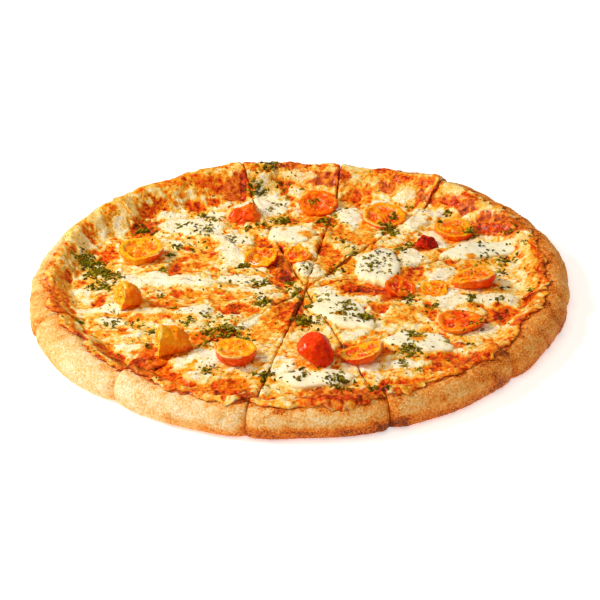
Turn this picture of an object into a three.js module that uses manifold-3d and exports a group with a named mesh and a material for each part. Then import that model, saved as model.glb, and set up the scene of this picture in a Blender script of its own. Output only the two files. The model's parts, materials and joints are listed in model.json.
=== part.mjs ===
// A round pizza, cut into twelve slices that still lie together: browned bread with a raised
// rim, a layer of tomato sauce, a layer of melted cheese with flakes of dried herb on it,
// softened slabs of mozzarella and cherry tomatoes cut in half.
// Millimetres, +Z up. The origin is the middle of the flat underside; -Y is the eater's side.

import * as THREE from "three";
import { mergeVertices } from "three/addons/utils/BufferGeometryUtils.js";
import Module from "manifold-3d";

const wasm = await Module();
wasm.setup();

// ---------------------------------------------------------------- driving dimensions

const DOUGH_THICKNESS = 4.6; // the flat bread under the toppings
const SAUCE_THICKNESS = 1.3;
const CHEESE_THICKNESS = 2.7;
const CHEESE_EDGE = 0.3; // its thickness at its outer edge, as a share of the rest
const CHEESE_TAPER = 14; // width over which it thins out
const LAYER_GAP = 0.35; // clearance that keeps touching solids apart

const RIM_HEIGHT = 17.5; // of the crust's highest line, in the middle of a low slice
const RIM_CREST = 10.5; // that line's distance in from the outer edge, where the bare crust is narrow
const NARROW_BARE = 12; // bare crust wider than this moves the highest line inwards,
const CREST_FOLLOWS = 0.7; // by this share of the rest
const RIM_WIDTH = 32; // from the outer edge to the flat bread, at that height
const RIM_WAIST = 0.42; // height of the widest line, as a share of the rim's height
const FLAT_INSET = 46; // inside this distance from the edge every layer is flat

const CUT_CENTRE = new THREE.Vector2(4.2, -5.3); // where the cutting wheel's lines cross
const KERF = 1.1; // width of the slot that the wheel leaves
const CORNER_ROUNDING = 2.4; // how far the crust's corners draw back at the cuts
const CORNER_PULL = 2.2; // a corner lifts or lowers the crest over 1 / this share of the slice

// Each cut ends on the rim, in a direction seen from the pizza's middle, in degrees. radius is
// the outer edge there, bare the width of crust without topping, and broad what is added to it
// in the middle of the next slice. before and after are the heights of the crust's corners on
// either side: neighbours rise and sink by themselves. raised is how much higher than RIM_HEIGHT
// the crest is in the middle of the next slice.
const CUTS = [
  { at: 20, radius: 178, bare: 13, broad: 0, before: 20, after: 18.5, raised: 2 },
  { at: 52, radius: 180.5, bare: 11, broad: 0, before: 20.5, after: 22.5, raised: 3 },
  { at: 78.5, radius: 174.5, bare: 8, broad: 0, before: 22, after: 22, raised: 3 },
  { at: 104, radius: 178, bare: 8, broad: 0, before: 24, after: 24.5, raised: 4 },
  { at: 139.5, radius: 181.5, bare: 8, broad: 0, before: 21.5, after: 20, raised: 0 },
  { at: 171.5, radius: 176.5, bare: 9, broad: 2, before: 18, after: 18, raised: 0 },
  { at: 197, radius: 175.5, bare: 12, broad: 8, before: 18, after: 17, raised: 0 },
  { at: 229, radius: 173, bare: 9.5, broad: 0, before: 16, after: 19, raised: 0 },
  { at: 259, radius: 175, bare: 9, broad: -2.5, before: 18, after: 17, raised: 0 },
  { at: 287, radius: 175.5, bare: 8.5, broad: 1.5, before: 17, after: 18, raised: 0 },
  { at: 318.5, radius: 171, bare: 10, broad: 3, before: 19, after: 16, raised: 0 },
  { at: 349.5, radius: 174.5, bare: 13, broad: 0, before: 16, after: 18, raised: 0 },
];

// Halved cherry tomatoes. A half lies with its cut side up and tipped by lean degrees towards
// heading; a lean of more than 90 shows the round side. lift raises it out of the cheese.
const TOMATOES = [
  { x: -106, y: 45, radius: 14.2, depth: 12, lean: 6, heading: 270, lift: 7 },
  { x: -115, y: -23, radius: 10, depth: 15, lean: 70, heading: 200, lift: 6.4 },
  { x: -87, y: -82, radius: 10.5, depth: 20, lean: 80, heading: 190, lift: 6.3 },
  { x: -39.5, y: -93.5, radius: 12.3, depth: 12, lean: 2, heading: 90, lift: 7 },
  { x: 7, y: -98.5, radius: 12.8, depth: 13.5, lean: 150, heading: 182, lift: 4 },
  { x: 36.5, y: -95, radius: 13.5, depth: 8, lean: 16, heading: 140, lift: 4.5 },
  { x: 100, y: -58, radius: 14.6, depth: 7, lean: 2, heading: 90, lift: 3.8 },
  { x: 113.5, y: -2.5, radius: 13.3, depth: 10, lean: 12, heading: 140, lift: 6 },
  { x: 107, y: 72, radius: 12.8, depth: 9, lean: 6, heading: 270, lift: 5 },
  { x: 60, y: 96.5, radius: 15.1, depth: 7, lean: 8, heading: 270, lift: 4 },
  { x: 15, y: 119, radius: 14, depth: 8, lean: 8, heading: 280, lift: 4 },
  { x: -37, y: 104, radius: 11.5, depth: 8, lean: 172, heading: 40, lift: 0 },
  { x: 87, y: 54, radius: 8, depth: 6, lean: 165, heading: 200, lift: 0 },
  { x: 65.5, y: -12.5, radius: 9.5, depth: 7, lean: 24, heading: 320, lift: 4 },
  { x: 87, y: -13, radius: 8.5, depth: 6, lean: 12, heading: 270, lift: 3 },
  { x: -26, y: 35, radius: 11.5, depth: 7, lean: 12, heading: 250, lift: 4 },
  { x: -0.5, y: 40.5, radius: 9, depth: 5, lean: 10, heading: 270, lift: 3 },
];
const TOMATO_SIDES = 12;
const SKIN_RINGS = [80, 58, 34, 10]; // of a half's round side, in degrees below its cut side
const LIP = 0.93; // shares of the radius, where the cut side starts to dip
const DIP = { share: 0.78, depth: 0.06 }; // and where it is deepest
const MIDDLE_DEPTH = 0.02; // also a share of the radius

// Slabs of mozzarella that have softened but stand above the cheese. along and across are half
// lengths, and turn is the direction of the long way, in degrees.
const SLABS = [
  { x: 53, y: 22, along: 25, across: 15.5, turn: 83, height: 4.2 },
  { x: 26, y: -38, along: 27, across: 15, turn: 303, height: 3 },
  { x: -4, y: 74, along: 17, across: 13, turn: 175, height: 2.6 },
  { x: 122, y: 43, along: 26, across: 12, turn: 10, height: 2.6 },
  { x: 73, y: -79, along: 22, across: 12, turn: 344, height: 2.8 },
  { x: 9, y: -120, along: 23, across: 11, turn: 0, height: 2.6 },
];
const SLAB_SIDES = 14;
const SLAB_UNEVENNESS = 0.06; // of its half lengths
const SLAB_ROOT = 3; // how far a slab reaches down before the cheese is carved off it
// Its rings from below to the top: shares of its outline and of its height
const SLAB_SHOULDERS = [
  { share: 1, rise: 0.45 },
  { share: 0.9, rise: 0.86 },
  { share: 0.5, rise: 1 },
];
const SLAB_CROWN = 1.04; // the height of its middle, as a share of height

// Mozzarella that has run flat into the cheese and swells it by height.
const POOLS = [
  { x: -29, y: 119, along: 17, across: 14, turn: 90, height: 1.3 },
  { x: -25, y: 155, along: 12, across: 8, turn: 0, height: 1.5 },
  { x: -66, y: 92, along: 22, across: 14, turn: 20, height: 1.2 },
  { x: -54, y: 58, along: 26, across: 12, turn: 118, height: 1.4 },
  { x: -84, y: 16, along: 28, across: 8, turn: 174, height: 1.2 },
  { x: -85, y: -34, along: 28, across: 9, turn: 357, height: 1.3 },
  { x: -57, y: -93, along: 13, across: 12, turn: 0, height: 1.2 },
  { x: 37, y: 103, along: 14, across: 10, turn: 80, height: 1.2 },
  { x: 84, y: 90, along: 22, across: 9, turn: 70, height: 1.6 },
  { x: 3, y: 25, along: 14, across: 9, turn: 90, height: 1.2 },
  { x: 120, y: -28, along: 26, across: 8, turn: 8, height: 1.2 },
  { x: 146, y: -4, along: 8, across: 7, turn: 0, height: 1.6 },
];
const POOL_STEEPNESS = 2.5;

// Tufts of dried herb, where the flakes fell thickly.
const TUFTS = [
  { x: -136, y: 37, spread: 11, flakes: 5 },
  { x: -124, y: 10, spread: 11, flakes: 4 },
  { x: -90, y: 80, spread: 16, flakes: 3 },
  { x: -62, y: 78, spread: 20, flakes: 4 },
  { x: -54, y: -69, spread: 14, flakes: 6 },
  { x: -24, y: -23, spread: 8, flakes: 3 },
  { x: -30, y: 5, spread: 9, flakes: 3 },
  { x: -80, y: -35, spread: 22, flakes: 4 },
  { x: -27, y: 145, spread: 10, flakes: 4 },
  { x: -12, y: 96, spread: 12, flakes: 4 },
  { x: 26, y: 88, spread: 12, flakes: 3 },
  { x: 65, y: 76, spread: 9, flakes: 3 },
  { x: 74, y: 44, spread: 9, flakes: 3 },
  { x: 120, y: 63, spread: 9, flakes: 3 },
  { x: 140, y: 27, spread: 8, flakes: 3 },
  { x: 68, y: -30, spread: 10, flakes: 3 },
  { x: 112, y: -30, spread: 14, flakes: 3 },
  { x: 60, y: -98, spread: 10, flakes: 3 },
  { x: 16, y: 26, spread: 10, flakes: 3 },
  { x: -62, y: -118, spread: 16, flakes: 3 },
  { x: 50, y: 24, spread: 14, flakes: 4 },
  { x: 30, y: -42, spread: 12, flakes: 4 },
  { x: 74, y: -80, spread: 14, flakes: 4 },
  { x: 12, y: -119, spread: 16, flakes: 4 },
  { x: 124, y: 44, spread: 14, flakes: 3 },
  { x: -6, y: 75, spread: 10, flakes: 2 },
];
const FLAKE_LENGTH = 4.2;
const FLAKE_SPREAD = 0.25; // how much longer or shorter one may be, as a share of that
const FLAKE_THICKNESS = 0.9;
const FLAKE_WIDTH = 0.55; // as a share of its length
const FLAKE_BEVEL = 0.84; // its lower face's size, as a share of its upper face's
const FLAKE_LEAN = 0.3; // either way, in radians
const FLAKE_PROUD = 0.25; // how far its middle stands out of the cheese, as a share of its thickness
const FLAKE_CLEARANCE = 3.6; // from a flake's middle to any cut, edge or topping
const FLAKE_PROBES = 8; // directions in which that clearance is tested
const FLAKE_SPACING = 4.6; // between the middles of two flakes
const FLAKE_TRIES = 60; // in one tuft
const FLAKE_SEED = 41;

// ---------------------------------------------------------------- the shape of the pizza

const TURN = 2 * Math.PI;
const radians = (degrees) => (degrees * Math.PI) / 180;
const mix = (a, b, t) => a + (b - a) * t;
const clamp01 = (t) => Math.min(1, Math.max(0, t));
const smooth = (t) => clamp01(t) ** 2 * (3 - 2 * clamp01(t));
const heading = (degrees) => new THREE.Vector2(Math.cos(radians(degrees)), Math.sin(radians(degrees)));
const nextCut = (index) => CUTS[(index + 1) % CUTS.length];

// Which two cuts a direction from the middle lies between, and how far it is from the first.
function betweenCuts(angle) {
  const degrees = ((angle / TURN) * 360 + 720 - CUTS[0].at) % 360;
  const index = CUTS.findLastIndex((cut) => cut.at - CUTS[0].at <= degrees);
  const first = CUTS[index];
  const span = (nextCut(index).at - first.at + 360) % 360;
  return { first, second: nextCut(index), share: (degrees - (first.at - CUTS[0].at)) / span };
}

// The outer edge: full in the middle of each slice, drawn back at its corners, and uneven.
function edgeRadius(angle) {
  const { first, second, share } = betweenCuts(angle);
  const side = Math.abs(2 * share - 1);
  const uneven = 0.7 * Math.sin(7 * angle + 1) + 0.4 * Math.sin(17 * angle);
  return mix(first.radius, second.radius, smooth(share)) - CORNER_ROUNDING * side ** 10 + uneven;
}

// Width of the bare crust, where the sauce's wavy edge starts.
function bareRim(angle) {
  const { first, second, share } = betweenCuts(angle);
  const wavy = 1.3 * Math.sin(11 * angle + 0.7) + 1.1 * Math.sin(29 * angle + 2.1);
  const broad = first.broad * Math.sin(Math.PI * share) ** 2;
  return mix(first.bare, second.bare, smooth(share)) + broad + wavy;
}

// Height of the rim's crest across a slice, which the corners pull up or down.
function crestHeight(index, share) {
  const middle = RIM_HEIGHT + CUTS[index].raised;
  const start = (CUTS[index].after - middle) * smooth(1 - CORNER_PULL * share);
  const end = (nextCut(index).before - middle) * smooth(1 - CORNER_PULL * (1 - share));
  return middle + start + end;
}

// Height of the bread's upper face, at a distance in from the outer edge.
function doughTop(inset, { crest, bare }) {
  const crestInset = RIM_CREST + CREST_FOLLOWS * Math.max(0, bare - NARROW_BARE);
  if (inset < crestInset) {
    const waist = RIM_WAIST * crest;
    return waist + (crest - waist) * Math.sqrt(1 - (1 - inset / crestInset) ** 2);
  }
  const width = (RIM_WIDTH * crest) / RIM_HEIGHT;
  return mix(crest, DOUGH_THICKNESS, smooth((inset - crestInset) / (width - RIM_CREST)));
}

// 1 in the middle of an oval, 0 on its outline, below 0 outside it.
function insideOval(oval, x, y) {
  const middle = new THREE.Vector2(oval.x, oval.y);
  const away = new THREE.Vector2(x, y).rotateAround(middle, -radians(oval.turn)).sub(middle);
  return 1 - Math.hypot(away.x / oval.along, away.y / oval.across);
}

// Thickness of the melted cheese: soft lumps, and swells where mozzarella ran into it.
function cheeseThickness(x, y) {
  const long = Math.sin(x / 11.3 + 1.1) * Math.sin(y / 9.7 + 0.4);
  const short = Math.sin((x + y) / 6.1) * Math.sin((x - 1.4 * y) / 7.3 + 2);
  const swellOf = (pool) => pool.height * smooth(POOL_STEEPNESS * insideOval(pool, x, y));
  const swell = POOLS.reduce((sum, pool) => sum + swellOf(pool), 0);
  return CHEESE_THICKNESS + 0.7 * long + 0.4 * short + swell;
}

// ---------------------------------------------------------------- slices

const COLUMN_SHARES = [0, 0.07, 0.24, 0.42, 0.6, 0.77, 0.93, 1]; // across a slice
const OUTER_ROWS = [0.78, 0.55, 0.32, 0.12, 0]; // shares of the bare crust, out to its edge
const SHARED_ROWS = [1, 0.66, 0.42, 0.24, 0.1, 0]; // from the flat bread out to the sauce's edge
const INNER_ROWS = [0.74, 0.48, 0.24]; // of the cheese: shares of the way in to the tip
const REACH_PASSES = 8; // each brings a line's end closer to the outer edge
const UNDERSIDE = [
  { inset: 0.8, height: 0.16 },
  { inset: 2.6, height: 0.04 },
  { inset: 6, height: 0 },
]; // heights as a share of the rim's height

// The directions of a slice's two cut faces, seen from where the cuts cross.
function cutWays(index) {
  const ends = [CUTS[index], nextCut(index)];
  return ends.map((cut) => heading(cut.at).multiplyScalar(cut.radius).sub(CUT_CENTRE).normalize());
}

// One line from a slice's tip to its outer edge, at a share of the way across the slice.
function columnOf(index, share, kerf) {
  const [first, second] = cutWays(index);
  const span = Math.acos(first.dot(second));
  const middle = first.clone().add(second).normalize();
  const tip = CUT_CENTRE.clone().addScaledVector(middle, kerf / 2 / Math.sin(span / 2));
  const way = first.clone().rotateAround(new THREE.Vector2(), share * span);
  let reach = edgeRadius(way.angle());
  for (let pass = 0; pass < REACH_PASSES; pass++) {
    const end = tip.clone().addScaledVector(way, reach);
    reach += edgeRadius(end.angle()) - end.length();
  }
  const bare = bareRim(tip.clone().addScaledVector(way, reach).angle());
  return { tip, way, reach, bare, crest: crestHeight(index, share) };
}

function pointOn(column, inset, z) {
  const place = column.tip.clone().addScaledVector(column.way, column.reach - inset);
  return new THREE.Vector3(place.x, place.y, z);
}

const sharedInset = (column, row) => mix(column.bare, FLAT_INSET, row);

// Cross-sections of the three layers: from the top of the tip outwards, and back underneath.
function crustSection(column) {
  const top = (inset) => pointOn(column, inset, doughTop(inset, column));
  return [
    pointOn(column, column.reach, DOUGH_THICKNESS),
    ...SHARED_ROWS.map((row) => top(sharedInset(column, row))),
    ...OUTER_ROWS.map((row) => top(row * column.bare)),
    ...UNDERSIDE.map(({ inset, height }) => pointOn(column, inset, height * column.crest)),
    pointOn(column, column.reach, 0),
  ];
}

function sauceSection(column) {
  const at = (row, lift) => {
    const inset = sharedInset(column, row);
    return pointOn(column, inset, doughTop(inset, column) + LAYER_GAP + lift);
  };
  const edgeThickness = SAUCE_THICKNESS / 2;
  return [
    pointOn(column, column.reach, DOUGH_THICKNESS + LAYER_GAP + SAUCE_THICKNESS),
    ...SHARED_ROWS.map((row) => at(row, row > 0 ? SAUCE_THICKNESS : edgeThickness)),
    ...SHARED_ROWS.toReversed().map((row) => at(row, 0)),
    pointOn(column, column.reach, DOUGH_THICKNESS + LAYER_GAP),
  ];
}

function cheeseSection(column, lift = 0) {
  const floor = (inset) => doughTop(inset, column) + 2 * LAYER_GAP + SAUCE_THICKNESS;
  const top = (inset) => {
    const place = pointOn(column, inset, 0);
    const taper = mix(CHEESE_EDGE, 1, smooth((inset - column.bare) / CHEESE_TAPER));
    return place.setZ(floor(inset) + taper * cheeseThickness(place.x, place.y) + lift);
  };
  const under = (inset) => pointOn(column, inset, floor(inset));
  const outer = SHARED_ROWS.filter((row) => row > 0).map((row) => sharedInset(column, row));
  return [
    top(column.reach),
    ...INNER_ROWS.toReversed().map((row) => top(mix(column.reach, FLAT_INSET, row))),
    ...outer.map(top),
    ...outer.toReversed().map(under),
    under(column.reach),
  ];
}

// A closed wedge skinned over cross-sections that all start and end at the slice's tip. The
// diagonals run the same way on top and underneath, so that layers fit on each other.
function wedge(sections) {
  const points = sections[0].length;
  const at = (c, k) => c * points + k;
  const fromTip = sections[0].map((p) => Math.hypot(p.x - sections[0][0].x, p.y - sections[0][0].y));
  const triangles = [];
  for (let c = 0; c + 1 < sections.length; c++) {
    for (let k = 0; k + 1 < points; k++) {
      const [a, b, across, ahead] = [at(c, k), at(c, k + 1), at(c + 1, k), at(c + 1, k + 1)];
      if (k === 0) triangles.push(a, b, ahead);
      else if (k + 2 === points) triangles.push(a, b, across);
      else if (fromTip[k + 1] > fromTip[k]) triangles.push(a, b, ahead, a, ahead, across);
      else triangles.push(a, b, across, b, ahead, across);
    }
  }
  for (const c of [0, sections.length - 1]) {
    const tip = sections[c][0];
    const outline = sections[c].map((p) => new THREE.Vector2(Math.hypot(p.x - tip.x, p.y - tip.y), p.z));
    for (const face of THREE.ShapeUtils.triangulateShape(outline, [])) {
      const ahead = THREE.ShapeUtils.area(face.map((k) => outline[k])) > 0;
      const ordered = ahead === (c === 0) ? face : face.toReversed();
      triangles.push(...ordered.map((k) => at(c, k)));
    }
  }
  return new THREE.BufferGeometry().setFromPoints(sections.flat()).setIndex(triangles);
}

const layer = (index, section, kerf = KERF) =>
  wedge(COLUMN_SHARES.map((share) => section(columnOf(index, share, kerf))));

// ---------------------------------------------------------------- joining and cutting

const MERGE_DISTANCE = 1e-4;

function solidOf(geometry) {
  const plain = geometry.clone();
  plain.deleteAttribute("normal");
  plain.deleteAttribute("uv");
  const merged = mergeVertices(plain, MERGE_DISTANCE);
  const vertProperties = merged.attributes.position.array;
  const triVerts = new Uint32Array(merged.index.array);
  return new wasm.Manifold(new wasm.Mesh({ numProp: 3, vertProperties, triVerts }));
}

function geometryOf(solid) {
  const { vertProperties, triVerts } = solid.getMesh();
  return new THREE.BufferGeometry()
    .setAttribute("position", new THREE.BufferAttribute(vertProperties, 3))
    .setIndex(new THREE.BufferAttribute(triVerts, 1));
}

const largestPiece = (solid) =>
  solid.decompose().reduce((best, piece) => (piece.volume() > best.volume() ? piece : best));

// The cheese without its cuts, lifted a little and very deep: what lies on it is carved by it.
// Its slices overlap slightly, so that they join.
const CARVING_LIFT = 0.6;
const CARVING_KERF = -0.5;
const CARVING_FLOOR = -40;
const carver = CUTS.map((_, index) => {
  const deep = (column) => {
    const section = cheeseSection(column, CARVING_LIFT);
    const topCount = 1 + INNER_ROWS.length + SHARED_ROWS.length - 1;
    return section.map((point, k) => (k < topCount ? point : point.setZ(CARVING_FLOOR)));
  };
  return solidOf(layer(index, deep, CARVING_KERF));
}).reduce((whole, slice) => whole.add(slice));

const ABOVE_ALL = 100;
const down = new THREE.Vector3(0, 0, -1);

// Height of a mesh's upper face at a place, or nothing beside it.
function heightOn(geometry, x, y) {
  const ray = new THREE.Raycaster(new THREE.Vector3(x, y, ABOVE_ALL), down);
  return ray.intersectObject(new THREE.Mesh(geometry))[0]?.point.z;
}

// ---------------------------------------------------------------- toppings

const cheeseLayers = CUTS.map((_, index) => layer(index, cheeseSection));
const wholeCheese = geometryOf(carver);
const cheeseHeight = (x, y) => heightOn(wholeCheese, x, y) - CARVING_LIFT;

// Half a cherry tomato: a slightly hollow cut side at z = 0 over a round skin.
function tomato({ x, y, radius, depth, lean, heading: towards, lift }) {
  const skin = SKIN_RINGS.map((degrees) => {
    const a = radians(degrees);
    return new THREE.Vector2(radius * Math.cos(a), -depth * Math.sin(a));
  });
  const profile = [
    new THREE.Vector2(0, -depth),
    ...skin,
    new THREE.Vector2(LIP * radius, 0),
    new THREE.Vector2(DIP.share * radius, -DIP.depth * radius),
    new THREE.Vector2(0, -MIDDLE_DEPTH * radius),
  ];
  const tip = new THREE.Vector3(-Math.sin(radians(towards)), Math.cos(radians(towards)), 0);
  const half = new THREE.LatheGeometry(profile, TOMATO_SIDES).rotateX(Math.PI / 2);
  half.applyQuaternion(new THREE.Quaternion().setFromAxisAngle(tip, radians(lean)));
  half.translate(x, y, cheeseHeight(x, y) + lift);
  return geometryOf(largestPiece(solidOf(half).subtract(carver)));
}

// A slab's outline at a share of its size, uneven like a torn piece.
function slabRing(slab, share, z) {
  return Array.from({ length: SLAB_SIDES }, (_, i) => {
    const a = (TURN * i) / SLAB_SIDES;
    const size = share * (1 + SLAB_UNEVENNESS * (Math.sin(3 * a + slab.x) + Math.sin(5 * a + slab.y)));
    return new THREE.Vector3(slab.along * size * Math.cos(a), slab.across * size * Math.sin(a), z);
  });
}

function slab(piece) {
  const rings = [
    slabRing(piece, 1, -SLAB_ROOT),
    ...SLAB_SHOULDERS.map(({ share, rise }) => slabRing(piece, share, rise * piece.height)),
  ];
  const bottom = new THREE.Vector3(0, 0, -SLAB_ROOT);
  const crown = new THREE.Vector3(0, 0, SLAB_CROWN * piece.height);
  const points = [bottom, ...rings.flat(), crown];
  const corner = (ring, i) => 1 + ring * SLAB_SIDES + (i % SLAB_SIDES);
  const triangles = [];
  for (let i = 0; i < SLAB_SIDES; i++) {
    triangles.push(0, corner(0, i + 1), corner(0, i));
    for (let k = 0; k + 1 < rings.length; k++) {
      const [low, lowNext] = [corner(k, i), corner(k, i + 1)];
      const [high, highNext] = [corner(k + 1, i), corner(k + 1, i + 1)];
      triangles.push(low, lowNext, highNext, low, highNext, high);
    }
    triangles.push(corner(rings.length - 1, i), corner(rings.length - 1, i + 1), points.length - 1);
  }
  const shape = new THREE.BufferGeometry().setFromPoints(points).setIndex(triangles);
  shape.rotateZ(radians(piece.turn)).translate(piece.x, piece.y, cheeseHeight(piece.x, piece.y));
  return geometryOf(largestPiece(solidOf(shape).subtract(carver)));
}

const tomatoes = TOMATOES.map(tomato);
const slabs = SLABS.map(slab);

// ---------------------------------------------------------------- herbs

function seededDraw(seed) {
  let state = seed;
  return () => {
    state = (state * 16807) % 2147483647;
    return state / 2147483647;
  };
}
const draw = seededDraw(FLAKE_SEED);

// A bit of dried leaf, a thin four-sided plate that leans a little.
function flake(x, y, z, length) {
  const plate = new THREE.CylinderGeometry(0.5, 0.5 * FLAKE_BEVEL, 1, 4);
  plate.scale(length, FLAKE_THICKNESS, FLAKE_WIDTH * length);
  const lean = mix(-FLAKE_LEAN, FLAKE_LEAN, draw());
  plate.rotateX(Math.PI / 2 + lean).rotateZ(TURN * draw());
  return solidOf(plate.translate(x, y, z + FLAKE_PROUD * FLAKE_THICKNESS));
}

// True where a flake's surroundings all lie on the same piece and clear of everything else.
function roomOn(geometry, others, x, y) {
  const around = Array.from({ length: FLAKE_PROBES }, (_, i) => {
    const a = (TURN * i) / FLAKE_PROBES;
    return [x + FLAKE_CLEARANCE * Math.cos(a), y + FLAKE_CLEARANCE * Math.sin(a)];
  });
  return (
    around.every(([px, py]) => heightOn(geometry, px, py) !== undefined) &&
    [[x, y], ...around].every(([px, py]) => others.every((other) => heightOn(other, px, py) === undefined))
  );
}

const carriers = [...slabs, ...cheeseLayers];
const flakesOn = new Map(carriers.map((geometry) => [geometry, []]));
const clearOfFlakes = (x, y) =>
  [...flakesOn.values()].flat().every((other) => Math.hypot(other.x - x, other.y - y) > FLAKE_SPACING);

for (const tuft of TUFTS) {
  for (let wanted = tuft.flakes, tries = 0; wanted > 0 && tries < FLAKE_TRIES; tries++) {
    const away = heading(360 * draw()).multiplyScalar(tuft.spread * Math.sqrt(draw()));
    const x = tuft.x + away.x;
    const y = tuft.y + away.y;
    const length = FLAKE_LENGTH * mix(1 - FLAKE_SPREAD, 1 + FLAKE_SPREAD, draw());
    const carrier = carriers.find((geometry) => heightOn(geometry, x, y) !== undefined);
    const others = slabs.includes(carrier) ? tomatoes : [...tomatoes, ...slabs];
    if (!carrier || !clearOfFlakes(x, y) || !roomOn(carrier, others, x, y)) continue;
    flakesOn.get(carrier).push({ x, y, solid: flake(x, y, heightOn(carrier, x, y), length) });
    wanted--;
  }
}

function withFlakes(geometry) {
  const fused = flakesOn.get(geometry).reduce((whole, { solid }) => whole.add(solid), solidOf(geometry));
  return geometryOf(largestPiece(fused));
}

// ---------------------------------------------------------------- the pizza

const material = (color, roughness) =>
  new THREE.MeshStandardMaterial({ color, roughness, flatShading: true });
const crustMaterial = material(0xd9a05b, 0.8);
const sauceMaterial = material(0xb5341a, 0.35);
const cheeseMaterial = material(0xf0c679, 0.4);
const mozzarellaMaterial = material(0xf7ecd2, 0.35);
const tomatoMaterial = material(0xe0441c, 0.25);

const pizza = new THREE.Group();

function add(name, geometry, finish) {
  const mesh = new THREE.Mesh(geometry, finish);
  mesh.name = name;
  pizza.add(mesh);
}

const number = (index) => String(index + 1).padStart(2, "0");
CUTS.forEach((_, index) => {
  add("crust_" + number(index), layer(index, crustSection), crustMaterial);
  add("sauce_" + number(index), layer(index, sauceSection), sauceMaterial);
  add("cheese_" + number(index), withFlakes(cheeseLayers[index]), cheeseMaterial);
});
tomatoes.forEach((geometry, index) => add("tomato_" + number(index), geometry, tomatoMaterial));
slabs.forEach((geometry, index) => {
  add("mozzarella_" + number(index), withFlakes(geometry), mozzarellaMaterial);
});

export default pizza;
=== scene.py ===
# %% [markdown]
# # A margherita pizza, cut into twelve slices that still lie together
#
# This lesson dresses a fixed construction model as a baked pizza. The model holds the true
# sizes: twelve wedges of bread, sauce and cheese, the tomato halves and the slabs of
# mozzarella. Each is replaced here by a finer piece in the same place, because a baked
# surface is thousands of small bumps that a plain solid can't carry.
#
# Everything is worked out in millimetres, which suit food, and turned into metres when a
# mesh is made, because the model's frame is in metres. Numpy does the sums on whole grids of
# points at once, which is what keeps a surface of a hundred thousand points quick to make.

# %% The tools, and the fixed model
import functools
import json
from types import SimpleNamespace

import bpy
import numpy as np
from mathutils import Matrix, Vector
from mathutils.bvhtree import BVHTree

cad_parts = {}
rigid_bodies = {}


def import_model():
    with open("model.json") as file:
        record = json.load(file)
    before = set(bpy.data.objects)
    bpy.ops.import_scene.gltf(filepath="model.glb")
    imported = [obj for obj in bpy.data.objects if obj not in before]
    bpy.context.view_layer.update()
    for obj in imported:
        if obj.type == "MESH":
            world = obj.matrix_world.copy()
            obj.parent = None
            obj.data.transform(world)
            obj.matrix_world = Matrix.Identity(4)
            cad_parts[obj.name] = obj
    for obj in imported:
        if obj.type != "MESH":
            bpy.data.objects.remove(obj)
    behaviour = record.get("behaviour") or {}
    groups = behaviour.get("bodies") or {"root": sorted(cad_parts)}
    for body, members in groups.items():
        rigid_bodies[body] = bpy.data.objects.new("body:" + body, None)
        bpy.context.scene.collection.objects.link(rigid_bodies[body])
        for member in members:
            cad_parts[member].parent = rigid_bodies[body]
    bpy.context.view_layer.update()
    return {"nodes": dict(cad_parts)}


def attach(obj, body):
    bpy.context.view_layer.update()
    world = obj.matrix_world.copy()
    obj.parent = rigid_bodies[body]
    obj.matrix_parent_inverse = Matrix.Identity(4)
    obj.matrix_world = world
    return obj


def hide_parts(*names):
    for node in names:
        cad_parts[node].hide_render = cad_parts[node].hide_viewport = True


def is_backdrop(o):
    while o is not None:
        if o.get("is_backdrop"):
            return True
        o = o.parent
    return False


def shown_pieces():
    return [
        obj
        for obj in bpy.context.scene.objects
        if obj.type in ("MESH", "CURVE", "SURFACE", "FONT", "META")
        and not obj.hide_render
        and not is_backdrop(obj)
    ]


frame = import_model()
MM = 0.001
print("nodes in the model:", len(frame["nodes"]))

# %% [markdown]
# ## The camera
#
# The pizza is seen from the eater's side, a little under thirty degrees above the table. A
# long lens from over a metre away keeps the far rim nearly as large as the near one. A camera
# in Blender looks along its own -Z, so its rotation is a matrix of three columns: its right,
# its up and its back. The horizon is tilted by a degree, as if the camera was held by hand.

# %% Camera
CAMERA_TARGET = Vector((0.0, 5.0, 0.0)) * MM
CAMERA_DISTANCE = 1182.5 * MM
CAMERA_ELEVATION = np.radians(28.07)
CAMERA_TILT = np.radians(1.287)
CAMERA_AIM = (0.26 * MM, -3.81 * MM)  # where it points, beside and below its target
LENS = 108

camera = bpy.data.objects.new("camera", bpy.data.cameras.new("camera"))
camera.data.lens = LENS
back = Vector((0, -np.cos(CAMERA_ELEVATION), np.sin(CAMERA_ELEVATION)))
level_right = Vector((1, 0, 0))
level_up = back.cross(level_right)
right = level_right * np.cos(CAMERA_TILT) - level_up * np.sin(CAMERA_TILT)
up = level_up * np.cos(CAMERA_TILT) + level_right * np.sin(CAMERA_TILT)
aim = right * CAMERA_AIM[0] + up * CAMERA_AIM[1]
camera.matrix_world = Matrix.Translation(CAMERA_TARGET + back * CAMERA_DISTANCE + aim) @ (
    Matrix((right, up, back)).transposed().to_4x4()
)
bpy.context.scene.collection.objects.link(camera)
bpy.context.scene.camera = camera
print("camera height in mm:", round(camera.location.z / MM))

# %% [markdown]
# ## Light
#
# Food is shown in bright, soft light: a lamp the size of a small window stands to the left and
# a little behind, so that every lump has a lit side and a shaded side. Two broad lamps and an
# even sky fill the shadows. The Standard view transform keeps the strong yellows and reds as
# they are mixed.

# %% Light
WARM_WHITE = (1.0, 0.92, 0.78)
SKY_COLOUR = (1.0, 0.93, 0.82, 1)
SKY_STRENGTH = 0.16

bpy.context.scene.view_settings.view_transform = "Standard"
world = bpy.data.worlds.new("white_sky")
world.use_nodes = True
sky = world.node_tree.nodes["Background"]
sky.inputs["Color"].default_value = SKY_COLOUR
sky.inputs["Strength"].default_value = SKY_STRENGTH
bpy.context.scene.world = world


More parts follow.
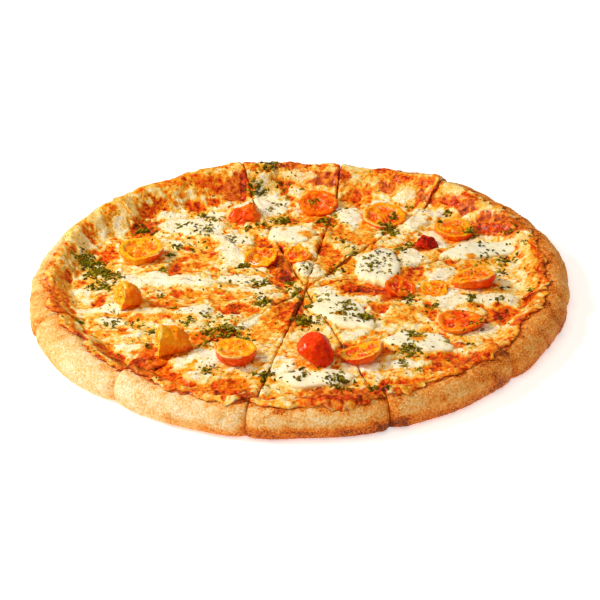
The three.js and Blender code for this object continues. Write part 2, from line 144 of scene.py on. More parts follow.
def soft_lamp(name, place, size, power, mirrored):
    """A square lamp that points at the pizza. Place and size are in mm, power in watts."""
    lamp = bpy.data.objects.new(name, bpy.data.lights.new(name, "AREA"))
    lamp.data.size = size * MM
    lamp.data.energy = power
    lamp.data.color = WARM_WHITE
    lamp.location = Vector(place) * MM
    lamp.rotation_euler = lamp.location.to_track_quat("Z", "Y").to_euler()
    lamp.visible_glossy = mirrored
    bpy.context.scene.collection.objects.link(lamp)


soft_lamp("window", (-1100, 150, 900), 340, 19, mirrored=True)
soft_lamp("ceiling", (-100, -350, 1300), 1300, 9, mirrored=False)
soft_lamp("reflector", (300, -1300, 500), 900, 2, mirrored=False)

# %% [markdown]
# ## The sizes, as the baker would give them
#
# The same numbers as in the construction model, so that each fine piece lies where its plain
# solid lies. The wheel presses a pizza's rim down, and then it springs back, more at one cut
# than at another. So each cut has its own radius, its width of bare crust, and the heights of
# the two corners that it made. Lengths are in mm and directions in degrees, anticlockwise from
# +X, here and in all tables.

# %% Layers and rim
DOUGH_THICKNESS = 4.6
SAUCE_THICKNESS = 1.3
CHEESE_THICKNESS = 2.7
LAYER_GAP = 0.35
RIM_HEIGHT = 17.5
RIM_CREST = 10.5  # how far in from the edge the rim is highest
NARROW_BARE = 12  # where the bare crust is broader than this, its crest lies further in,
CREST_FOLLOWS = 0.7  # by this share of the difference
RIM_WIDTH = 32  # from the edge to the flat base
RIM_WAIST = 0.42  # how high the outer wall is widest, as a share of its crest
FLAT_INSET = 46  # from here inwards the base is flat everywhere
CUT_CENTRE = np.array((4.2, -5.3))  # the wheel's cuts cross a little beside the middle
KERF = 1.1  # the width of a cut
CORNER_ROUNDING = 2.4
CORNER_PULL = 2.2  # how quickly the height at a corner changes to that of the slice's middle

# direction, radius, bare crust and how much broader it gets in the middle of the next slice,
# crest before, crest after, how much the crest is raised in the middle of the next slice, and
# how open the cut still is
CUTS = np.array([
    (20, 178, 13, 0, 20, 18.5, 2, 0.8),
    (52, 180.5, 11, 0, 20.5, 22.5, 3, 0.9),
    (78.5, 174.5, 8, 0, 22, 22, 3, 0.7),
    (104, 178, 8, 0, 24, 24.5, 4, 0.9),
    (139.5, 181.5, 8, 0, 21.5, 20, 0, 0.15),
    (171.5, 176.5, 9, 2, 18, 18, 0, 0.1),
    (197, 175.5, 12, 8, 18, 17, 0, 0.2),
    (229, 173, 9.5, 0, 16, 19, 0, 0.9),
    (259, 175, 9, -2.5, 18, 17, 0, 0.9),
    (287, 175.5, 8.5, 1.5, 17, 18, 0, 0.8),
    (318.5, 171, 10, 3, 19, 16, 0, 0.25),
    (349.5, 174.5, 13, 0, 16, 18, 0, 0.2),
])
cut_at, cut_radius, cut_bare, cut_broad, crest_before, crest_after, crest_raised, cut_open = CUTS.T
SLICE_COUNT = len(CUTS)
print("slices:", SLICE_COUNT, "  mean diameter in mm:", round(2 * cut_radius.mean()))

# %% [markdown]
# ## The outline and the rim as formulas
#
# A rolled and baked disc is never a true circle, and its rim is a soft roll that is wider in
# one place than in another. A few short formulas give its radius, its bare width and its
# height in any direction. A formula can be asked anywhere, so one rim serves the crust, the
# sauce and the cheese. `smooth` is an easing curve: it leaves and arrives level, so that
# parts joined with it show no kink.

# %% Outline and rim


def mix(a, b, t):
    return a + (b - a) * t


def smooth(t):
    """From 0 to 1 with a soft start and a soft end."""
    t = np.clip(t, 0, 1)
    return t * t * (3 - 2 * t)


def between_cuts(angle):
    """The cut before and after a direction from the middle, and the share of the way."""
    turned = (np.degrees(angle) - cut_at[0]) % 360
    first = np.searchsorted(cut_at - cut_at[0], turned, side="right") - 1
    second = (first + 1) % SLICE_COUNT
    span = (cut_at[second] - cut_at[first]) % 360
    return first, second, (turned - (cut_at[first] - cut_at[0])) / span


def edge_radius(angle):
    """The pizza's radius in a direction, with its corners drawn back and a few uneven waves."""
    first, second, share = between_cuts(angle)
    drawn_back = CORNER_ROUNDING * np.abs(2 * share - 1) ** 10
    uneven = 0.7 * np.sin(7 * angle + 1) + 0.4 * np.sin(17 * angle)
    return mix(cut_radius[first], cut_radius[second], smooth(share)) - drawn_back + uneven


def bare_rim(angle):
    """How broad the bare crust is in a direction."""
    first, second, share = between_cuts(angle)
    wavy = 1.3 * np.sin(11 * angle + 0.7) + 1.1 * np.sin(29 * angle + 2.1)
    broad = cut_broad[first] * np.sin(np.pi * share) ** 2
    return mix(cut_bare[first], cut_bare[second], smooth(share)) + broad + wavy


def crest_height(index, share):
    """The height of a slice's rim, at a share of the way from its first cut to its second."""
    middle = RIM_HEIGHT + crest_raised[index]
    start = (crest_after[index] - middle) * smooth(1 - CORNER_PULL * share)
    end = (crest_before[(index + 1) % SLICE_COUNT] - middle) * smooth(1 - CORNER_PULL * (1 - share))
    return middle + start + end


def dough_top(inset, crest, bare):
    """Height of the bread at a distance in from its edge: a round rim, then a flat base."""
    crest_inset = RIM_CREST + CREST_FOLLOWS * np.maximum(0, bare - NARROW_BARE)
    waist = RIM_WAIST * crest
    outer = waist + (crest - waist) * np.sqrt(1 - (1 - np.clip(inset / crest_inset, 0, 1)) ** 2)
    width = RIM_WIDTH * crest / RIM_HEIGHT
    inner = mix(crest, DOUGH_THICKNESS, smooth((inset - crest_inset) / (width - RIM_CREST)))
    return np.where(inset < crest_inset, outer, inner)


print("rim height halfway along slice 1 in mm:", crest_height(0, 0.5))

# %% [markdown]
# ## Randomness that can be repeated
#
# Nothing on a pizza repeats, yet this script has to give the same pizza each time. So every
# random table comes from a numbered seed. `hills` is value noise: random heights on a square
# lattice, joined smoothly. Adding finer and weaker hills gives `rough`, the classic fractal
# sum, and folding the hills at zero gives `ridges`, which look like strands that melted
# together. `blisters` are round domes here and there, for steam that pushed the surface up.

# %% Noise
LATTICE = 256
LATTICE_START = (97.3, 61.7)  # where the middle of the pizza lies on it


@functools.cache
def lattice(seed):
    return np.random.default_rng(seed).uniform(-1, 1, (LATTICE, LATTICE))


def hills(x, y, size, seed):
    """Soft random hills about that many mm apart, from -1 to 1."""
    heights = lattice(seed)
    turn = np.radians(17 + 31 * seed)
    u = (x * np.cos(turn) - y * np.sin(turn)) / size + LATTICE_START[0]
    v = (x * np.sin(turn) + y * np.cos(turn)) / size + LATTICE_START[1]
    i, j = np.floor(u).astype(int), np.floor(v).astype(int)
    s, t = smooth(u - i), smooth(v - j)

    def corner(a, b):
        return heights[(i + a) % LATTICE, (j + b) % LATTICE]

    return mix(mix(corner(0, 0), corner(1, 0), s), mix(corner(0, 1), corner(1, 1), s), t)


def rough(x, y, size, seed, octaves=3):
    """Hills on hills, each octave half as large and half as high, still about -1 to 1."""
    bent_x = x + 0.4 * size * hills(x, y, 1.3 * size, seed + 50)
    bent_y = y + 0.4 * size * hills(x, y, 1.3 * size, seed + 60)
    total = sum(0.5**k * hills(bent_x, bent_y, size / 2**k, seed + k) for k in range(octaves))
    return total / (2 - 0.5 ** (octaves - 1)) * 1.5


def ridges(x, y, size, seed):
    """Narrow crests, 1 on the crest and about 0 in the dips between."""
    return 1 - np.abs(rough(x, y, size, seed, 2))


def rises(low, high, value):
    """From 0 to 1 while a value goes from low to high."""
    return smooth((value - low) / (high - low))


def blisters(x, y, spacing, seed, chance):
    """Round domes scattered on a jittered lattice, 1 at their tops."""
    rng = np.random.default_rng(seed)
    jitter = rng.uniform(0.15, 0.85, (LATTICE, LATTICE, 2))
    sizes = rng.uniform(0.25, 0.6, (LATTICE, LATTICE)) * (rng.random((LATTICE, LATTICE)) < chance)
    x, y = x / spacing, y / spacing
    column, row = np.floor(x).astype(int), np.floor(y).astype(int)
    best = np.zeros(np.shape(x))
    for a, b in np.ndindex(3, 3):
        i, j = (column + a - 1) % LATTICE, (row + b - 1) % LATTICE
        away = np.hypot(x - column - (a - 1) - jitter[i, j, 0], y - row - (b - 1) - jitter[i, j, 1])
        size = sizes[i, j]
        best = np.maximum(best, smooth(1 - away / np.maximum(size, 1e-6)) * (size > 0))
    return best


probe = rough(*np.meshgrid(np.arange(0, 200, 0.5), np.arange(0, 200, 0.5)), 8, 1)
print("rough noise spreads by", round(float(probe.std()), 2))

# %% [markdown]
# ## Where a point lies on its slice
#
# A slice is measured by two numbers: the share of the way across it, from one cut to the
# next, and the inset from the outer edge. That suits a pizza better than x and y, because
# the rim, the sauce's edge and the browning all follow the edge. Both ways round are needed:
# from share and inset to a place, to build a grid, and back again, to ask how high the
# surface is under a loose herb flake. A second pair, u and v, is x and y with the climb to the
# rim rolled out flat. Noise is read there, or it would be drawn out to streaks on the slope.

# %% Slices
TABLE_SHARES = np.linspace(0, 1, 121)
CUT_SWAY = 7  # what lies this close to a cut sways with it
CUT_STEADY = 12  # and this sway fades out so close to where all cuts meet


def unit(degrees):
    return np.array((np.cos(np.radians(degrees)), np.sin(np.radians(degrees))))


def cut_way(index):
    """The direction of a cut as an angle, seen from where the cuts cross."""
    end = cut_radius[index] * unit(cut_at[index]) - CUT_CENTRE
    return np.arctan2(end[1], end[0])


def cut_edges(cut, out):
    """How far both edges of a cut stray to one side, and how far each closes over the slot."""
    along = out + 40 * cut  # a stretch of the noise for each cut
    settled = smooth(out / CUT_STEADY)
    wander = 0.7 * hills(along, 0 * along, 23, 5) + 0.35 * hills(along, 0 * along, 6, 6)
    gaping = 0.75 * hills(along, 9 + 0 * along, 15, 7) + 0.5 * hills(along, 9 + 0 * along, 4, 8)
    closing = KERF / 2 * np.minimum(mix(0.9, 0.35, cut_open[cut]) - gaping * cut_open[cut], 0.95)
    return wander * settled, closing * settled


class Slice:
    """One wedge between two cuts, measured from its tip."""

    def __init__(self, index):
        self.index = index
        self.cuts = (index, (index + 1) % SLICE_COUNT)
        self.start = cut_way(index)
        self.span = (cut_way(self.cuts[1]) - self.start) % (2 * np.pi)
        middle = self.start + self.span / 2
        tip_way = np.array((np.cos(middle), np.sin(middle)))
        self.tip = CUT_CENTRE + tip_way * KERF / 2 / np.sin(self.span / 2)
        self.reaches = self.solve_reach(TABLE_SHARES)
        self.length = self.reaches[len(TABLE_SHARES) // 2]

    def ways(self, share):
        """The direction away from the tip, as x and y."""
        angle = self.start + share * self.span
        return np.stack((np.cos(angle), np.sin(angle)), -1)

    def solve_reach(self, share):
        """The distance from the tip to the outer edge."""
        way = self.ways(share)
        reach = edge_radius(np.arctan2(way[..., 1], way[..., 0]))
        for _ in range(8):
            end = self.tip + way * reach[..., None]
            angle = np.arctan2(end[..., 1], end[..., 0])
            reach = reach + edge_radius(angle) - np.hypot(end[..., 0], end[..., 1])
        return reach

    def reach(self, share):
        """The same, read from the table."""
        return np.interp(share, TABLE_SHARES, self.reaches)

    def swayed(self, at, out, to_cuts):
        """Points near a cut wander with it and close over the slot."""
        for side, cut in enumerate(self.cuts):
            angle = self.start + side * self.span
            leftwards = np.array((-np.sin(angle), np.cos(angle)))
            outwards = leftwards if side else -leftwards
            near_cut = smooth(1 - to_cuts[side] / CUT_SWAY)[..., None]
            wander, closing = cut_edges(cut, out)
            at = at + near_cut * (wander[..., None] * leftwards + closing[..., None] * outwards)
        return at

    def place(self, share, inset):
        """Everything that the surfaces need to know about points on this slice."""
        share, inset = np.broadcast_arrays(share, inset)
        reach = self.reach(share)
        way = self.ways(share)
        out = reach - inset
        edge = self.tip + way * reach[..., None]
        to_cuts = np.stack((np.sin(share * self.span), np.sin((1 - share) * self.span))) * out
        at = self.swayed(self.tip + way * out[..., None], out, to_cuts)
        bare, crest = bare_rim(np.arctan2(edge[..., 1], edge[..., 0])), crest_height(self.index, share)
        unrolled = at + way * (dough_top(inset, crest, bare) - DOUGH_THICKNESS)[..., None]
        return SimpleNamespace(
            x=at[..., 0], y=at[..., 1], u=unrolled[..., 0], v=unrolled[..., 1],
            inset=inset, bare=bare, crest=crest,
            cut_distance=np.minimum(to_cuts[0], to_cuts[1]),
            cut_open=np.where(to_cuts[1] < to_cuts[0], *cut_open[list(self.cuts[::-1])]),
        )


SLICES = [Slice(index) for index in range(SLICE_COUNT)]


def locate(x, y):
    """The same knowledge for loose points, from x and y."""
    angle = np.arctan2(y - CUT_CENTRE[1], x - CUT_CENTRE[0])
    turned = (angle - SLICES[0].start) % (2 * np.pi)
    starts = np.array([(piece.start - SLICES[0].start) % (2 * np.pi) for piece in SLICES])
    index = np.searchsorted(starts, turned, side="right") - 1
    found = SimpleNamespace()
    for piece in SLICES:
        mine = index == piece.index
        off = np.stack((x[mine], y[mine]), -1) - piece.tip
        share = ((np.arctan2(off[:, 1], off[:, 0]) - piece.start + np.pi) % (2 * np.pi) - np.pi) / piece.span
        share = np.clip(share, 0, 1)
        inset = piece.reach(share) - np.hypot(off[:, 0], off[:, 1])
        for key, value in vars(piece.place(share, inset)).items():
            vars(found).setdefault(key, np.zeros(x.shape))[mine] = value
    return found


print("length of the slices in mm:", [round(float(piece.length)) for piece in SLICES])

# %% [markdown]
# ## Meshes from rows of points
#
# Every layer here is a stack of rows: from the tip of a slice outwards, over the rim and
# back underneath. A row near the tip needs few points and a row at the rim needs many. So
# `between` joins two rows of any lengths, always stepping forward along whichever row is
# behind. That gives even triangles everywhere, without a crowd of slivers at the tip.

# %% Rows and rings


def between(near, far, near_at=None, far_at=None):
    """Triangles that join two rows of vertices, which face up if near lies further in."""
    near_at = np.linspace(0, 1, len(near)) if near_at is None else near_at
    far_at = np.linspace(0, 1, len(far)) if far_at is None else far_at
    triangles = []
    i = j = 0
    while i + 1 < len(near) or j + 1 < len(far):
        near_next = near_at[i + 1] if i + 1 < len(near) else np.inf
        far_next = far_at[j + 1] if j + 1 < len(far) else np.inf
        if near_next <= far_next:
            triangles.append((near[i], far[j], near[i + 1]))
            i += 1
        else:
            triangles.append((near[i], far[j], far[j + 1]))
            j += 1
    return triangles


class Quilt:
    """Rows of points across one slice, from the tip outwards and back underneath."""

    def __init__(self, piece):
        self.piece = piece
        self.rows = []
        self.values = []
        self.size = 0

    def row(self, count, **values):
        """One more row of evenly spread points, with values for all or for each of them."""
        self.rows.append(np.arange(self.size, self.size + count))
        self.size += count
        share = np.linspace(0, 1, count) if count > 1 else np.array([0.5])
        spread = {key: np.broadcast_to(value, count) for key, value in values.items()}
        self.values.append({"share": share, **spread})

    def all(self, key):
        """One kind of value at all points of the quilt."""
        return np.concatenate([values[key] for values in self.values])

    def faces(self, points, turn):
        """The skin over all rows, and the two cut faces; row number turn is the outermost."""

        def out(chain):
            return np.hypot(*(points[chain][:, :2] - self.piece.tip).T)

        triangles = [t for near, far in zip(self.rows, self.rows[1:]) for t in between(near, far)]
        for side, order in ((0, 1), (-1, -1)):
            upper = [int(row[side]) for row in self.rows[: turn + 1]]
            lower = [int(row[side]) for row in self.rows[turn:]][::-1]
            wall = between(upper, lower, out(upper), out(lower))
            triangles += [t[::order] for t in wall if len(set(t)) == 3]
        return triangles


def closed_rings(rings, sides):
    """Faces over a stack of rings, closed by a point at each end. Both points are stored last."""
    ring, side = np.meshgrid(np.arange(rings - 1), np.arange(sides), indexing="ij")
    following = (side + 1) % sides
    corners = (ring * sides + side, (ring + 1) * sides + side,
               (ring + 1) * sides + following, ring * sides + following)
    faces = [tuple(face) for face in np.stack(corners, -1).reshape(-1, 4).tolist()]
    first_end, last_ring = rings * sides, (rings - 1) * sides
    for k in range(sides):
        following = (k + 1) % sides
        faces.append((first_end, k, following))
        faces.append((first_end + 1, last_ring + following, last_ring + k))
    return faces


print("two rows of 3 and 5 points make", len(between([0, 1, 2], [3, 4, 5, 6, 7])), "triangles")

# %% [markdown]
# ## Pieces and what they replace
#
# A new mesh is only an object once it stands in the scene, and here it also moves with the
# model's body, takes its material, and hides the model's solid whose place it takes. One
# function does this for every piece, so that none is forgotten.
# A value for each point, such as how baked it is with its painted shade, travels with the
# mesh as an attribute, and the material reads it by name.

# %% Making pieces


def new_piece(name, points, faces, recipe, slot=None, node=None, **shares):
    """An object from points in mm, with any number of named values at its points."""
    mesh = bpy.data.meshes.new(name)
    mesh.from_pydata((np.asarray(points, float) * MM).tolist(), [], faces)
    mesh.polygons.foreach_set("use_smooth", np.ones(len(mesh.polygons), bool))
    mesh.materials.append(recipe.material)
    for key, values in shares.items():
        layer = mesh.attributes.new(key, "FLOAT", "POINT")
        layer.data.foreach_set("value", np.asarray(values, np.float32))
    mesh.update()
    piece = bpy.data.objects.new(name, mesh)
    bpy.context.scene.collection.objects.link(piece)
    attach(piece, "root")
    if node:
        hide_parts(node)
    return piece


def stand_in(prefix, slot, number, points, faces, recipe, **shares):
    """A fine piece in place of one numbered solid of the model."""
    node = f"{slot}_{number:02d}"
    return new_piece(prefix + node, points, faces, recipe, slot, node, **shares)


def corners_of(piece, what="co"):
    """The places of a mesh's points in metres, or their directions with what="normal"."""
    values = np.empty(len(piece.data.vertices) * 3, np.float32)
    piece.data.vertices.foreach_get(what, values)
    return values.reshape(-1, 3)


def triangles_in(pieces):
    return sum(len(face.vertices) - 2 for piece in pieces for face in piece.data.polygons)


print("triangles in the plain model:", triangles_in(o for o in bpy.data.objects if o.type == "MESH"))

# %% [markdown]
# ## Materials as short recipes
#
# A material in Blender is a tree of nodes. Written out, each node takes many lines, so this
# small class keeps the recipes readable: it makes a node, sets its inputs and hands back its
# output. A noise's size is given in millimetres. Numbers that are the same all over, such as
# the sheen of a surface, are set on the shader itself.

# %% A recipe for materials


def linear(colour):
    """From the 0 to 255 numbers of a colour picker to the linear light that shaders use."""
    c = np.asarray(colour, float) / 255
    return (*np.where(c <= 0.04045, c / 12.92, ((c + 0.055) / 1.055) ** 2.4), 1.0)


class Recipe:
    """A material: its constants are set on the shader, and its mixed sockets are linked."""

    def __init__(self, name, **constants):
        self.material = bpy.data.materials.new(name)
        self.material.use_nodes = True
        self.tree = self.material.node_tree
        self.shader = self.tree.nodes["Principled BSDF"]
        for key, value in constants.items():
            self.shader.inputs[key.replace("_", " ")].default_value = value
        self.position = self.node("ShaderNodeTexCoord").outputs["Object"]

    def node(self, kind, inputs=(), **settings):
        made = self.tree.nodes.new(kind)
        for key, value in settings.items():
            setattr(made, key, value)
        for key, value in dict(inputs).items():
            if isinstance(value, bpy.types.NodeSocket):
                self.tree.links.new(value, made.inputs[key])
            else:
                made.inputs[key].default_value = value
        return made

    def set(self, socket, value):
        """Link a value that varies over the surface to a socket of the shader."""
        self.tree.links.new(value, self.shader.inputs[socket])

    def value(self, name):
        """A named value of the mesh's points."""
        return self.node("ShaderNodeAttribute", attribute_name=name).outputs["Fac"]

    def noise(self, size, detail=3, distortion=0.0):
        """Soft random values from 0 to 1, that change over about size mm."""
        wanted = {"Scale": 1 / (size * MM), "Detail": detail, "Distortion": distortion}
        return self.node("ShaderNodeTexNoise", {"Vector": self.position, **wanted}).outputs["Fac"]

    def add(self, a, b):
        return self.node("ShaderNodeMath", {0: a, 1: b}, operation="ADD").outputs[0]

    def fit(self, value, low, high, to_low=0.0, to_high=1.0):
        """Stretch a value's range to another, and clamp what lies beyond."""
        wanted = {0: value, 1: low, 2: high, 3: to_low, 4: to_high}
        return self.node("ShaderNodeMapRange", wanted).outputs[0]

    def sway(self, noise, strength):
        """Most noise lies between 0.3 and 0.7: that part is spread from -strength to strength."""
        return self.fit(noise, 0.3, 0.7, -strength, strength)

    def ramp(self, value, *stops):
        """Colours along a value: each stop is a position from 0 to 1 and a colour."""
        made = self.node("ShaderNodeValToRGB", {"Fac": value})
        elements = made.color_ramp.elements
        while len(elements) < len(stops):
            elements.new(1.0)
        for element, (at, colour) in zip(elements, stops):
            element.position = at
            element.color = linear(colour)
        return made.outputs["Color"]

    def blend(self, share, a, b):
        colours = [c if isinstance(c, bpy.types.NodeSocket) else linear(c) for c in (a, b)]
        wanted = {"Factor": share, 6: colours[0], 7: colours[1]}
        return self.node("ShaderNodeMix", wanted, data_type="RGBA").outputs[2]

    def relief(self, height, depth):
        """Bumps that are depth mm high."""
        wanted = {"Height": height, "Distance": depth * MM, "Strength": 1.0}
        self.set("Normal", self.node("ShaderNodeBump", wanted).outputs["Normal"])


print("a warm cream in linear light:", [round(float(c), 2) for c in linear((247, 214, 160))])

# %% [markdown]
# ## The crust
#
# The rim is risen dough, pale where it is thick and floured, golden where it bulged towards
# the oven's heat, and orange-brown in a band near the stone. That band and the darker right
# side are partly painted shade, for light that doesn't reach them. It could be one ring, but
# it was cut with a wheel, so each slice has its own rim with drawn-in corners. Its profile is
# the model's, drawn with a true curve in place of a few flat steps, and then roughened: wide
# soft lumps, a few blisters, and pores. The browning and its painted shade are worked out at
# the same points as the shape, so that they can follow the blisters and the edge.

# %% The finish of the crust
crust_recipe = Recipe("baked_crust", Roughness=0.66, Specular_IOR_Level=0.22, Subsurface_Weight=0.08,
                      Subsurface_Radius=(0.004, 0.002, 0.001), Subsurface_Scale=0.5)
grainy = crust_recipe.noise(1.2, 3)
blotchy = crust_recipe.noise(4.5, 4, 0.3)
# the point value is the browning, with painted shade on the lower wall, the right side and the cut corners
baked = crust_recipe.add(crust_recipe.value("bake"), crust_recipe.sway(blotchy, 0.07))
crust_recipe.set("Base Color", crust_recipe.ramp(
    crust_recipe.add(baked, crust_recipe.sway(grainy, 0.22)),
    (0.0, (253, 240, 214)), (0.2, (248, 220, 174)), (0.4, (243, 189, 108)),
    (0.6, (238, 142, 38)), (0.8, (212, 96, 8)), (1.0, (116, 46, 6))))
pores = crust_recipe.add(crust_recipe.fit(grainy, 0.2, 0.8), crust_recipe.noise(0.45, 2))
crust_recipe.relief(pores, 0.42)
print("nodes in the crust's recipe:", len(crust_recipe.tree.nodes))

# %% The crust's relief, and its browning with painted shade
# direction, then how baked the top of the rim is and its wall near the stone; the darker
# wall and the darker right side are partly painted shade
BROWNING = np.array([
    (0, 0.6, 0.76), (30, 0.66, 0.82), (60, 0.7, 0.88), (80, 0.7, 0.88), (100, 0.64, 0.9),
    (118, 0.46, 0.66), (135, 0.28, 0.42), (155, 0.28, 0.4), (175, 0.4, 0.46), (190, 0.48, 0.52),
    (202, 0.38, 0.44), (214, 0.28, 0.36), (228, 0.2, 0.28), (245, 0.24, 0.44), (258, 0.3, 0.7),
    (272, 0.34, 0.8), (286, 0.44, 0.84), (300, 0.54, 0.76), (318, 0.6, 0.76), (340, 0.58, 0.74),
    (360, 0.6, 0.76),
])


def bread_blisters(x, y, z):
    """Where steam raised the crust, 1 at the tops of the blisters."""
    return blisters(x + 0.5 * z, y + 0.5 * z, 13, 17, 0.3)


def crust_lumps(x, y, z):
    """How far the crust swells, in mm, by place; z shifts the pattern round the wall."""
    wide = rough(x + 0.7 * z, y - 0.6 * z, 24, 11)
    close = rough(x - 0.5 * z, y + 0.9 * z, 5, 14)
    return 0.9 * wide + 0.28 * close + 0.8 * bread_blisters(x, y, z)


def past_bare(place):
    """How far in from the edge of the toppings, in mm."""
    return place.inset - place.bare


def plain_bread(place):
    return dough_top(place.inset, place.crest, place.bare)


def bread_rise(place):
    """How far the baked bread stands above its plain profile, fading out under the toppings."""
    lump = crust_lumps(place.x, place.y, plain_bread(place))
    fade = smooth(1.8 - past_bare(place) / 6)
    return lump * fade * (1 - 0.7 * smooth(1 - place.inset / RIM_CREST))


def crust_bake(x, y, z, height_share, to_topping):
    """0 is raw and floured, 0.4 golden, 0.6 orange-brown, 1 nearly burnt; partly painted shade."""
    angle = np.degrees(np.arctan2(y, x)) % 360
    top, wall = (np.interp(angle, BROWNING[:, 0], BROWNING[:, k]) for k in (1, 2))
    drift = 0.12 * rough(x + z, y - z, 12, 19)
    bake = mix(wall, top, rises(0.28, 0.62, height_share + drift))
    bake = bake + 0.09 * rough(x + z, y - z, 14, 21) + 0.06 * rough(x - z, y + z, 3.5, 24)
    oily = smooth(1 - (to_topping + 2.2 * rough(x, y, 5, 27)) / 5) * rises(-0.5, 0.5, rough(x, y, 4, 28))
    return bake + 0.16 * bread_blisters(x, y, z) + 0.3 * oily


print("bake round the rim from", BROWNING[:, 1].min(), "to", BROWNING[:, 2].max())

# %% The crust's slices
CRUST_SPACING = 1.15
RIM_RADIUS = 170  # where the crust's points are that far apart
UNDER_TOPPINGS = 7  # how far the finely made rim reaches under the toppings
TOP_ROWS = 34
FOOT_ROWS = 12
FOOT_INSET = 6  # how far the wall curls under before it meets the stone
UNDERSIDE_POINTS = 24
CORNER_WIDTH = 5  # the crust is rounded off this close to a cut,
CORNER_DROP = 0.9  # by this much at most
# rows under the toppings: how far out towards that line, and how densely filled
SHEET_ROWS = ((0, 0.1), (0.3, 0.25), (0.52, 0.4), (0.7, 0.55), (0.85, 0.8))
UNDER_INSETS = (13, 20, 28, 38, 54, 80)


def crust_profile(crest, bare):
    """Inset and height along the outer profile, over the crest and down to the floor."""
    down = np.linspace(0, 1, TOP_ROWS)
    top_inset = mix(bare + UNDER_TOPPINGS, 0, smooth(down) * 0.35 + down * 0.65)
    under = np.linspace(0, np.pi / 2, FOOT_ROWS + 1)[1:]
    insets = np.concatenate((top_inset, FOOT_INSET * (1 - np.cos(under))))
    waist = RIM_WAIST * crest
    heights = np.concatenate((dough_top(top_inset, crest, bare), waist * (1 - np.sin(under)) ** 1.4))
    return insets, heights


def crust_rows(piece):
    """The quilt of one crust, and the number of its widest row."""
    quilt = Quilt(piece)
    fine = int(piece.span * RIM_RADIUS / CRUST_SPACING)
    edge = piece.place(np.linspace(0, 1, fine), 0.0)
    profile = [crust_profile(crest, bare) for crest, bare in zip(edge.crest, edge.bare)]
    insets, heights = np.array([p[0] for p in profile]).T, np.array([p[1] for p in profile]).T
    quilt.row(1, inset=piece.length, height=DOUGH_THICKNESS, swell=0)
    for out, density in SHEET_ROWS:
        count = int(fine * density)
        along = piece.place(np.linspace(0, 1, count), 0.0)
        inset = mix(FLAT_INSET, along.bare + UNDER_TOPPINGS, out)
        quilt.row(count, inset=inset, height=dough_top(inset, along.crest, along.bare), swell=0)
    for inset, height in zip(insets, heights):
        quilt.row(fine, inset=inset, height=height, swell=1)
    for inset in UNDER_INSETS:
        quilt.row(UNDERSIDE_POINTS, inset=inset, height=0, swell=0)
    quilt.row(1, inset=piece.length, height=0, swell=0)
    waist = RIM_WAIST * edge.crest[0] + 1e-6
    return quilt, 1 + len(SHEET_ROWS) + int(np.argmax(heights[:, 0] <= waist))


def crust_slice(piece):
    quilt, widest = crust_rows(piece)
    inset, height, swell = quilt.all("inset"), quilt.all("height"), quilt.all("swell")
    place = piece.place(quilt.all("share"), inset)
    x, y = place.x, place.y
    corner = smooth(1 - place.cut_distance / CORNER_WIDTH) * swell
    lump = crust_lumps(x, y, height) * swell - CORNER_DROP * corner**2
    on_top = np.arange(quilt.size) <= quilt.rows[len(SHEET_ROWS) + TOP_ROWS][-1]
    rise = np.where(on_top, bread_rise(place) * swell, 0.3 * lump * smooth(height / 4))
    steep = smooth(1 - inset / RIM_CREST)
    angle = np.arctan2(y, x)
    x_swollen, y_swollen = x + lump * steep * np.cos(angle), y + lump * steep * np.sin(angle)
    points = np.stack((x_swollen, y_swollen, np.maximum(height + rise, 0)), -1)
    # painted shade: the crust is made darker where it rounds off into a cut
    bake = crust_bake(x, y, height, height / place.crest, place.bare - inset) + 0.1 * corner
    faces = quilt.faces(points, widest)
    return stand_in("baked_", "crust", piece.index + 1, points, faces, crust_recipe, bake=bake)


crusts = [crust_slice(piece) for piece in SLICES]
print("crust triangles:", triangles_in(crusts))

# %% [markdown]
# ## Semolina
#
# The dough was stretched on semolina, so coarse grains are baked onto its rim and give it a
# sandy look. Noise in the finish makes the finest speckle, but from close by a grain is a
# thing with its own shadow. So thousands of tiny eight-sided crystals are joined into one
# mesh. They sit at random points of the crust, sunk halfway, and are toasted as the bread is.
# They also take the painted shade that is part of the bread's browning.

# %% Grains on the rim
GRAIN_COUNT = 11000
GRAIN_RADIUS = (0.22, 0.5)  # the smallest and the largest
GRAIN_STRAY = 0.45  # how far a grain lies beside a point of the crust
GRAIN_SEED = 3
grain_recipe = Recipe("semolina_grain", Roughness=0.6, Specular_IOR_Level=0.3)
grain_recipe.set("Base Color", grain_recipe.ramp(
    grain_recipe.value("toasted"), (0.0, (255, 242, 204)), (0.3, (252, 218, 146)), (0.6, (240, 168, 78)),
    (1.0, (186, 92, 20))))
GRAIN_CORNERS = np.array(((1, 0, 0), (0, 1, 0), (-1, 0, 0), (0, -1, 0), (0, 0, 1), (0, 0, -1)))
GRAIN_FACES = np.array([(k, (k + 1) % 4, 4) for k in range(4)] + [((k + 1) % 4, k, 5) for k in range(4)])


def bare_points():
    """Places in mm, directions and browning, with its painted shade, of the bare crust's points."""
    places = np.concatenate([corners_of(piece) for piece in crusts]) / MM
    directions = np.concatenate([corners_of(piece, "normal") for piece in crusts])
    layers = [piece.data.attributes["bake"].data for piece in crusts]
    bakes = np.array([point.value for layer in layers for point in layer])
    found = locate(places[:, 0], places[:, 1])
    shown = (found.inset < found.bare - 0.5) & (places[:, 2] > 1.0) & (found.cut_distance > 1.2)
    return places[shown], directions[shown], bakes[shown]


